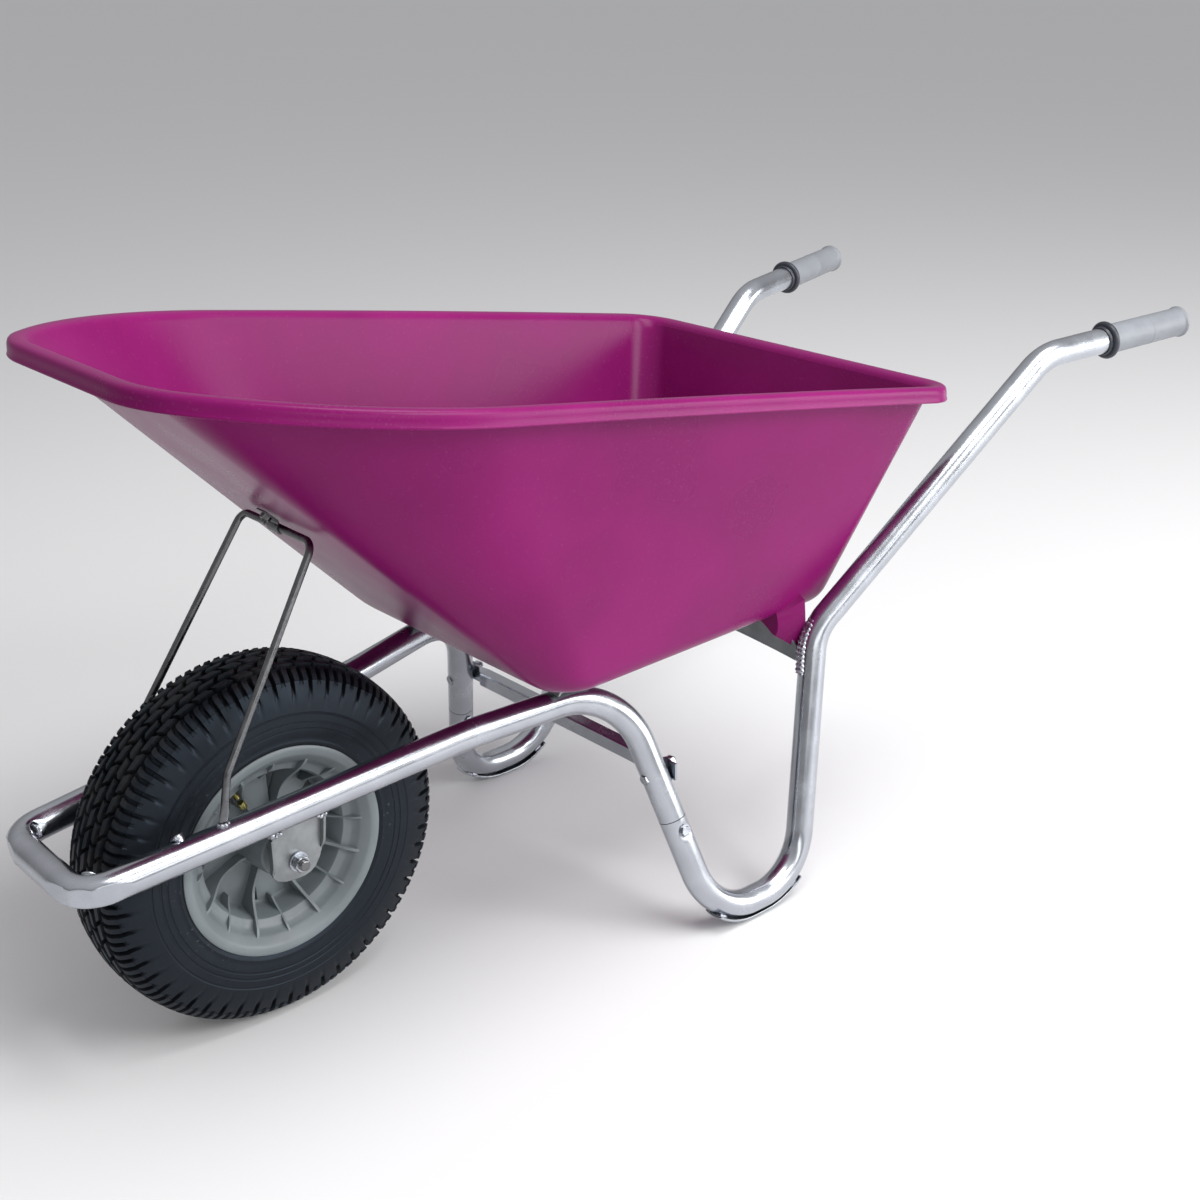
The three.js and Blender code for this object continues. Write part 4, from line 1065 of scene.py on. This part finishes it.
def tread_depth(phase, y):
    """How deep the tyre is cut, in mm. Seven rows of blocks, staggered from row to row, with cross cuts at
    the start of a pitch or half-way along it. Grooves run between the rows, and every other cut is longer at
    the shoulder."""
    at = np.abs(y)
    first, second, third = ROW_GAPS

    def cut(start):
        return np.clip(np.minimum(phase - start, start + 0.25 - phase) / 0.05, 0, 1)

    early = ((at < first) | ((at > second) & (at < third))) * cut(0.0)
    late = ((at > first) & (at < second)) * cut(0.5)
    shoulder = (at > third) * np.maximum(cut(0.5), 0.75 * cut(0.0) * (1 - eased(at, 43, 47)))
    grooves = np.max([np.abs(at - middle) < 2.1 for middle in ROW_GAPS], axis=0) * 1.0
    cross_cuts = np.maximum(np.maximum(early, late), shoulder * (1 - 0.5 * eased(at, 45, 50)))
    return TREAD_CUT * np.maximum(cross_cuts, grooves)


def add_tyre(surface):
    """A grid round the tyre and over its section: sidewalls with rings, blocks cut into the tread, and the
    hollow inside, closed as a ring."""
    y = np.array(TREAD_HALF)
    crown = TYRE_R - 1e-3 - 0.00335 * y ** 2 - 9.0 * eased(y, 30, 50) ** 2
    half = np.concatenate([TYRE_SIDE, np.stack([crown, y], axis=1)])
    outside = np.concatenate([half, half[-2::-1] * [1, -1]])
    hollow = np.array(HOLLOW_HALF, float)
    profile = np.concatenate([outside, hollow * [1, -1], [HOLLOW_TOP], hollow[::-1]])
    pitch = np.concatenate([k + np.array(TREAD_STATIONS) for k in range(TREAD_PITCHES)])
    angle = pitch * FULL_TURN / TREAD_PITCHES
    is_tread = np.zeros(len(profile))
    is_tread[len(TYRE_SIDE) - SHOULDER_ROWS:len(outside) - len(TYRE_SIDE) + SHOULDER_ROWS] = 1
    near_top = (eased(profile[:, 0], 164, 182) * is_tread)[:, None]
    radius, width = profile[:, :1], profile[:, 1:]
    depth = tread_depth((pitch % 1.0)[None, :], width) * near_top
    normal = np.gradient(profile, axis=0) @ np.array([[0, -1], [1, 0]])
    normal = unit(normal * np.sign((profile * normal).sum(1, keepdims=True)))
    skew = 0.16 * np.sin(width * FULL_TURN / 24) * (np.abs(width) < 36) * near_top
    turn = angle[None, :] + skew * FULL_TURN / TREAD_PITCHES
    surface.grid(on_wheel(radius - depth * normal[:, :1], turn, width - depth * normal[:, 1:]), ring=True)


def add_valve(stem, cap):
    """The threaded stem on its rubber foot, and the knurled cap nearer the axle."""
    outwards = np.array([-math.sin(VALVE_TURN), 0, math.cos(VALVE_TURN)])
    base = AXLE + [0, VALVE_Y, 0]
    z = np.arange(0, 15.6, 0.3)
    thread = np.stack([73.4 + z, 3.0 + 0.25 * np.cos(z * FULL_TURN / 1.2)], axis=1)
    rubber_foot = [(89.5, 3.1), (90, 4.2), (95, 4.6), (108, 4.6), (110, 3.4)]
    stem.grid(turned([(73, 2.4), *thread, *rubber_foot], base, outwards, 24))

    def knurled(angle, radius):
        return radius * (1 + 0.035 * np.sign(np.cos(12 * angle)) * (radius > 3.6))

    profile = [(57.2, 1.5), (57.4, 3.0), (58.4, 3.8), (59, 4.0), (65.8, 4.0), (66.4, 3.7), (66.5, 3.0)]
    cap.grid(turned(profile, base, outwards, 48, knurled))


def add_axle(surface):
    """The spindle: plain between the brackets, threaded at both ends, its ends coned."""
    z = np.arange(0, 14, 0.3)
    thread = 5.75 + 0.25 * np.cos(z * FULL_TURN / 1.5)
    end = np.stack([AXLE_HALF - z, thread], axis=1)
    half = np.concatenate([[(AXLE_HALF, 4.6)], end[2:], [(77.0, 6.0), (40.0, 6.0)]])
    profile = np.concatenate([half, half[::-1] * [-1, 1]])
    surface.grid(turned(profile, AXLE, (0, 1, 0), 40))


def add_axle_bracket(surface, welds, side):
    """A plate whose front and rear edges are folded outwards, welded to the rail above."""
    loop = [AXLE + [x, side * PLATE_Y, z] for x, z in BRACKET_PLATE]
    surface.prism(loop, (0, side * 3.0, 0))
    for foot, head, lean in (((-32, -5), (-32, 37), 1), ((30, 6), (33.5, 43), -1)):
        t = np.linspace(0, 1, 9)[:, None]
        line = between(np.array(foot, float), np.array(head, float), t)
        reach = 3.0 + 6.0 * eased(t, -0.1, 0.3)
        inner = np.concatenate([line[:, :1], 0 * t + 0.3, line[:, 1:]], axis=1)
        corners = ((0, 0), (0, 1), (3 * lean, 1), (3 * lean, 0))
        points = [inner + np.concatenate([0 * t + dx, out * (reach - 0.3), 0 * t], 1) for dx, out in corners]
        points = np.stack(points, axis=1)
        points[..., 1] = side * (PLATE_Y + points[..., 1])
        surface.grid(points + AXLE * [1, 0, 1])
    for x, z in ((-29, 43), (-24, 45), (30, 48), (25, 47)):
        centre = AXLE + [x, side * (PLATE_Y + 6.5), z]
        blob(welds, centre, (4.6, 3.4, 2.8), (0.2, side, 0.6))
        blob(welds, centre + [3, side * 2.2, -3], (2.6, 2.4, 2.0), (0, side, 0.2))


def add_wheel_fittings(bearings, spacers, side):
    """A shielded ball bearing in each end of the hub and the spacer tube beside it."""
    y = np.array([0, side, 0])
    bearings.grid(turned(BEARING_SECTION, AXLE, y, 64), ring=True)
    spacers.grid(turned(SPACER_SECTION, AXLE, y, 48), ring=True)


# ---- Fasteners ----


def add_axle_nuts(nuts, washers, side):
    """The nut and the washer on one end of the axle."""
    y = np.array([0, side, 0])
    hex_head(nuts, AXLE + y * 79.7, y, 9.5, 8.0)
    washer(washers, AXLE + y * 77.2, y, 11.0, 6.2, 2.2)


def add_splice_fasteners(surface, side):
    """The bolt's head and washer outside the leg, and its nut and end inside."""
    _, outwards, _ = leg_axes(side)
    bolt = splice_point(side, SPLICE_BOLT_AT)
    hex_head(surface, bolt + outwards * (TUBE_R - 1.9), outwards, 6.4, 4.2)
    washer(surface, bolt + outwards * (TUBE_R - 2.4), outwards, 7.6, 3.1, 1.0)
    hex_head(surface, bolt - outwards * (TUBE_R - 1.9), -outwards, 6.2, 5.0)
    shank(surface, bolt - outwards * (TUBE_R + 3.0), -outwards, 3.0, 6.0)


def add_brace_fasteners(surface, side):
    """The bolt's head ahead of the leg, and its washer, nut and end behind the brace."""
    _, _, behind = leg_axes(side)
    at = splice_point(side, BRACE_AT)
    nut = sum(cad_box("brace_nut_" + NAMES[side])) / 2
    hex_head(surface, at - behind * (TUBE_R - 2.6), -behind, 6.5, 4.2)
    seat = nut - behind * 3.3
    washer(surface, seat - behind * 0.2, behind, 8.2, 4.1, 1.2)
    hex_head(surface, seat + behind * 1.0, behind, 7.0, 6.0)
    shank(surface, seat + behind * 6.5, behind, 4.0, 4.0)


def add_tray_fasteners(surface, side):
    """The two domed bolts through one side of the tray's floor, and the rear one's nut."""
    up = np.array([0, 0, 1])
    for where in ("front", "rear"):
        low, high = cad_box(f"tray_bolt_{where}_{NAMES[side]}")
        x, y, _ = (low + high) / 2
        crown = [(0, 9.0), (0.6, 9.0), (1.6, 8.3), (2.6, 6.8), (3.3, 4.4), (3.5, 2.2)]
        surface.grid(turned(crown, (x, y, high[2] - 3.5), up, 40))
        surface.grid(turned([(0, 3.9), (high[2] - 3 - low[2], 3.9)], (x, y, low[2]), up, 24))
    nut_low, _ = cad_box("tray_nut_rear_" + NAMES[side])
    hex_head(surface, (x, y, nut_low[2] + 6), -up, 7.0, 6.0)


# ---- Settings ----


def colour_setting(name, description, default):
    """A colour in linear values."""
    return FloatVectorProperty(name=name, description=description, default=default, subtype="COLOR", size=3,
                               min=0.0, max=1.0)


class BarrowColours(bpy.types.PropertyGroup):
    """The base colour of each finish, in linear values."""
    tray: colour_setting("Tray", "Moulded tray", (0.185, 0.0055, 0.098))
    tube: colour_setting("Tube", "Bright zinc tube", (0.46, 0.48, 0.52))
    sheet: colour_setting("Sheet", "Dull zinc sheet", (0.27, 0.285, 0.29))
    steel: colour_setting("Steel", "Rod and fasteners", (0.15, 0.152, 0.158))
    rim: colour_setting("Rim", "Wheel rim plastic", (0.140, 0.163, 0.173))
    grip: colour_setting("Grip", "Handle grips", (0.19, 0.2, 0.22))
    collar: colour_setting("Collar", "Grip collars", (0.020, 0.024, 0.034))
    rubber: colour_setting("Rubber", "Tyre", (0.0055, 0.006, 0.0075))
    brass: colour_setting("Brass", "Valve", (0.30, 0.27, 0.10))


def angle_setting(name, description, degrees):
    """An angle, shown in degrees and kept in radians."""
    return FloatProperty(name=name, description=description, default=math.radians(degrees), subtype="ANGLE")


class BarrowStudio(bpy.types.PropertyGroup):
    """The camera, the floor and the sky."""
    lens: FloatProperty(name="Lens", description="Focal length on the camera's sensor, in mm", default=51.85,
                        min=10.0)
    azimuth: angle_setting("Azimuth", "Camera's turn about the vertical", -40.86)
    elevation: angle_setting("Elevation", "Camera's angle above level", 22.118)
    roll: angle_setting("Roll", "Camera's turn about its own axis", -0.855)
    place: FloatVectorProperty(name="Place", description="Camera's place", default=(-1.2568, -1.4514, 1.1125),
                               subtype="TRANSLATION", unit="LENGTH", size=3)
    floor_half: FloatProperty(name="Floor", description="Half the floor's width", default=30.0, unit="LENGTH",
                              min=1.0)
    sky: FloatProperty(name="Sky", description="Brightness overhead", default=0.6, min=0.0)


# ---- Operators ----


def both(stem):
    """The names of the left and the right node."""
    return [f"{stem}_{name}" for name in SIDES]


class BARROW_OT_tray(bpy.types.Operator):
    """Makes the moulded tray"""
    bl_idname = "barrow.tray"
    bl_label = "Tray"

    def execute(self, context):
        tray = Surface()
        add_tray_shell(tray)
        add_tray_feet(tray)
        tray.piece("tray", "purple", "purple_plastic", sharp=40)
        return {"FINISHED"}


class BARROW_OT_tubes(bpy.types.Operator):
    """Makes the three bent tubes"""
    bl_idname = "barrow.tubes"
    bl_label = "Frame tubes"

    def execute(self, context):
        front = Surface()
        add_front_tube(front)
        front.piece("front_frame_tube", "zinc", "zinc_tube")
        for name, side in SIDES.items():
            rear = Surface()
            add_rear_tube(rear, side)
            rear.piece("rear_frame_tube_" + name, "zinc", "zinc_tube")
        return {"FINISHED"}


class BARROW_OT_leg_fittings(bpy.types.Operator):
    """Makes the skids, brace, cross plate and straps, with their weld beads"""
    bl_idname = "barrow.leg_fittings"
    bl_label = "Leg fittings"

    def execute(self, context):
        brace, plate, straps, welds = (Surface() for _ in range(4))
        for name, side in SIDES.items():
            skid = Surface()
            add_leg_skid(skid, welds, side)
            skid.piece("leg_skid_" + name, "zinc", "zinc_tube", bevel=0.5)
        add_leg_brace(brace)
        brace.piece("leg_brace", "zinc", "zinc_tube", sharp=25)
        add_rear_plate(plate, welds)
        plate.piece("rear_cross_plate", "sheet", "zinc_tube", bevel=0.4)
        add_straps(straps, welds)
        straps.piece("tray_straps", "sheet", "steel", both("tray_bracket"), bevel=0.3)
        welds.piece("leg_welds", "weld", "zinc_tube", [], sharp=60)
        return {"FINISHED"}


class BARROW_OT_stay(bpy.types.Operator):
    """Makes the stay rod, its clip and its bolt"""
    bl_idname = "barrow.stay"
    bl_label = "Stay"

    def execute(self, context):
        rod, clip, bolts, welds = (Surface() for _ in range(4))
        add_stay(rod, welds)
        add_stay_clip(clip, bolts)
        rod.piece("stay_rod", "steel", "steel")
        clip.piece("stay_clip", "steel", "steel", bevel=0.3)
        bolts.piece("stay_fasteners", "steel", "steel", ["stay_bolt", "stay_nut"])
        welds.piece("stay_welds", "weld", "steel", [], sharp=60)
        return {"FINISHED"}


class BARROW_OT_handles(bpy.types.Operator):
    """Makes the grips and their collars"""
    bl_idname = "barrow.handles"
    bl_label = "Handles"

    def execute(self, context):
        for name, side in SIDES.items():
            grip, collar = Surface(), Surface()
            add_grip(grip, side)
            grip.piece("grip_" + name, "grip", "grip_plastic")
            add_collar(collar, side)
            collar.piece("grip_collar_" + name, "collar", "dark_plastic")
        return {"FINISHED"}


class BARROW_OT_wheel(bpy.types.Operator):
    """Makes the rim, tyre and valve"""
    bl_idname = "barrow.wheel"
    bl_label = "Wheel"

    def execute(self, context):
        rim, tyre, stem, cap = (Surface() for _ in range(4))
        add_wheel_rim(rim)
        rim.piece("wheel_rim", "rim", "grey_plastic", body=WHEEL_BODY, sharp=28, bevel=0.45)
        add_tyre(tyre)
        tyre.piece("tyre", "rubber", "rubber", body=WHEEL_BODY, sharp=38)
        add_valve(stem, cap)
        stem.piece("valve_stem", "brass", "brass", body=WHEEL_BODY)
        cap.piece("valve_cap", "brass", "brass", body=WHEEL_BODY)
        return {"FINISHED"}


class BARROW_OT_axle(bpy.types.Operator):
    """Makes the axle, its brackets, bearings, spacers, nuts and washers"""
    bl_idname = "barrow.axle"
    bl_label = "Axle"

    def execute(self, context):
        axle, nuts, washers, bearings, spacers, welds = (Surface() for _ in range(6))
        add_axle(axle)
        axle.piece("axle", "steel", "steel")
        for name, side in SIDES.items():
            bracket = Surface()
            add_axle_bracket(bracket, welds, side)
            bracket.piece("axle_bracket_" + name, "sheet", "zinc_tube", bevel=0.5)
            add_wheel_fittings(bearings, spacers, side)
            add_axle_nuts(nuts, washers, side)
        bearings.piece("wheel_bearings", "steel", "steel", both("wheel_bearing"), body=WHEEL_BODY)
        spacers.piece("axle_spacers", "steel", "steel", both("axle_spacer"))
        nuts.piece("axle_nuts", "fastener", "steel", both("axle_nut"))
        washers.piece("axle_washers", "fastener", "steel", both("axle_washer"))
        welds.piece("bracket_welds", "weld", "zinc_tube", [], sharp=60)
        return {"FINISHED"}


class BARROW_OT_fasteners(bpy.types.Operator):
    """Makes the bolts and nuts of the splices, the brace and the tray"""
    bl_idname = "barrow.fasteners"
    bl_label = "Fasteners"

    def execute(self, context):
        groups = (("splice", add_splice_fasteners, ("splice_bolt", "splice_nut")),
                  ("brace", add_brace_fasteners, ("brace_bolt", "brace_nut")),
                  ("tray", add_tray_fasteners, ("tray_bolt_front", "tray_bolt_rear", "tray_nut_rear")))
        for group, adder, stems in groups:
            surface = Surface()
            for side in SIDES.values():
                adder(surface, side)
            nodes = [node for stem in stems for node in both(stem)]
            surface.piece(group + "_fasteners", "fastener", "steel", nodes, sharp=28)
        return {"FINISHED"}


class BARROW_OT_kept_nodes(bpy.types.Operator):
    """Gives the CAD nodes that stay their finishes: the sleeves in the legs and the inner tube"""
    bl_idname = "barrow.kept_nodes"
    bl_label = "Kept nodes"

    def execute(self, context):
        kept = {"splice_sleeve_left": "steel", "splice_sleeve_right": "steel", "inner_tube": "rubber"}
        for node, finish in kept.items():
            mesh = bpy.data.objects[node].data
            mesh.materials.clear()
            mesh.materials.append(look(finish))
        return {"FINISHED"}


def added(name, data):
    """A new object of the data, in the scene."""
    thing = bpy.data.objects.new(name, data)
    bpy.context.scene.collection.objects.link(thing)
    return thing


def set_axes(thing, right, up, back, place):
    """Turns the object so that its X, Y and Z lie along the three directions, and puts it in its place."""
    matrix = np.eye(4)
    matrix[:3, :3] = np.stack([right, up, back], axis=1)
    matrix[:3, 3] = place
    thing.matrix_world = Matrix(matrix.tolist())


SENSOR_WIDTH = 36.0
FLOOR_HEIGHT = -0.0004  # just under the wheel and the skids
FLOOR_COLOUR = (0.70, 0.70, 0.705, 1)
LIGHTS = (
    ("key_light", (0.9, -3.0, 2.5), (0, 0, 0.35), (2.2, 1.3), 80),
    ("side_light", (-1.0, -3.6, 1.1), (-0.2, 0, 0.3), (3.4, 0.7), 20),
    ("sheen_light", (2.6, -2.9, 1.0), (0, 0.2, 0.6), (2.8, 1.5), 80),
    ("top_light", (0.3, -0.9, 3.2), (0, 0.25, 0.55), (2.0, 1.4), 70),
)  # name, place, aim, width and height in metres, watts
SKY_STOPS = ((0.0, 0.42), (0.1, 0.5), (0.3, 0.62), (0.6, 0.9), (1.0, 1.1))  # (height, grey)


class BARROW_OT_stage(bpy.types.Operator):
    """Makes the floor, the camera, the lights and the pale surroundings"""
    bl_idname = "barrow.stage"
    bl_label = "Studio"

    def execute(self, context):
        studio = context.scene.barrow_studio
        self.floor(studio)
        self.camera(context.scene, studio)
        self.surroundings(context.scene, studio)
        self.lights()
        context.scene.view_settings.view_transform = "Standard"
        return {"FINISHED"}

    def floor(self, studio):
        half = studio.floor_half
        mesh = bpy.data.meshes.new("studio_floor")
        corners = [(x * half, y * half, FLOOR_HEIGHT) for x, y in ((-1, -1), (1, -1), (1, 1), (-1, 1))]
        mesh.from_pydata(corners, [], [(0, 1, 2, 3)])
        floor = added("studio_floor", mesh)
        pale = Finish("pale_floor", **{"Roughness": 0.75, "Base Color": FLOOR_COLOUR})
        mesh.materials.append(pale.material)

    def camera(self, scene, studio):
        a, e, r = studio.azimuth, studio.elevation, studio.roll
        back = np.array([math.sin(a) * math.cos(e), -math.cos(a) * math.cos(e), math.sin(e)])
        level = np.array([math.cos(a), math.sin(a), 0])
        up = np.cross(back, level)
        data = bpy.data.cameras.new("camera")
        data.lens, data.sensor_width = studio.lens, SENSOR_WIDTH
        camera = added("camera", data)
        right = math.cos(r) * level + math.sin(r) * up
        set_axes(camera, right, -math.sin(r) * level + math.cos(r) * up, back, studio.place)
        scene.camera = camera

    def surroundings(self, scene, studio):
        """A pale sky, darker near the horizon, so that bright metal shows bands."""
        world = bpy.data.worlds.new("surroundings")
        scene.world = world
        world.use_nodes = True
        tree = world.node_tree
        where = tree.nodes.new("ShaderNodeTexCoord")
        split = tree.nodes.new("ShaderNodeSeparateXYZ")
        ramp = tree.nodes.new("ShaderNodeValToRGB")
        tree.links.new(where.outputs["Generated"], split.inputs[0])
        tree.links.new(split.outputs["Z"], ramp.inputs[0])
        elements = ramp.color_ramp.elements
        while len(elements) < len(SKY_STOPS):
            elements.new(0.5)
        for element, (at, level) in zip(elements, SKY_STOPS):
            element.position = at
            element.color = (level, level, level * 1.02, 1)
        background = tree.nodes["Background"]
        background.inputs["Strength"].default_value = studio.sky
        tree.links.new(ramp.outputs[0], background.inputs[0])

    def lights(self):
        for name, place, aim, size, power in LIGHTS:
            data = bpy.data.lights.new(name, "AREA")
            data.shape = "RECTANGLE"
            data.size, data.size_y = size
            data.energy = power
            back = unit(np.array(place, float) - np.array(aim, float))
            right = unit(np.cross([0, 0, 1], back))
            set_axes(added(name, data), right, np.cross(back, right), back, place)


OPERATORS = (
    BARROW_OT_stage, BARROW_OT_tray, BARROW_OT_tubes, BARROW_OT_leg_fittings, BARROW_OT_stay,
    BARROW_OT_handles, BARROW_OT_wheel, BARROW_OT_axle, BARROW_OT_fasteners, BARROW_OT_kept_nodes,
)


class BARROW_PT_panel(bpy.types.Panel):
    """Lists the wheelbarrow's operators and settings"""
    bl_idname = "BARROW_PT_panel"
    bl_label = "Wheelbarrow"
    bl_space_type = "VIEW_3D"
    bl_region_type = "UI"
    bl_category = "Wheelbarrow"

    def draw(self, context):
        for operator in OPERATORS:
            self.layout.operator(operator.bl_idname)
        for settings in (context.scene.barrow_colours, context.scene.barrow_studio):
            box = self.layout.box()
            for key in settings.__annotations__:
                box.prop(settings, key)


CLASSES = (BarrowColours, BarrowStudio, *OPERATORS, BARROW_PT_panel)


def register():
    for entry in CLASSES:
        bpy.utils.register_class(entry)
    bpy.types.Scene.barrow_colours = PointerProperty(type=BarrowColours)
    bpy.types.Scene.barrow_studio = PointerProperty(type=BarrowStudio)


def unregister():
    del bpy.types.Scene.barrow_studio
    del bpy.types.Scene.barrow_colours
    for entry in reversed(CLASSES):
        bpy.utils.unregister_class(entry)


def main():
    register()
    for operator in OPERATORS:
        group, name = operator.bl_idname.split(".")
        getattr(getattr(bpy.ops, group), name)()


if __name__ == "__main__":
    main()
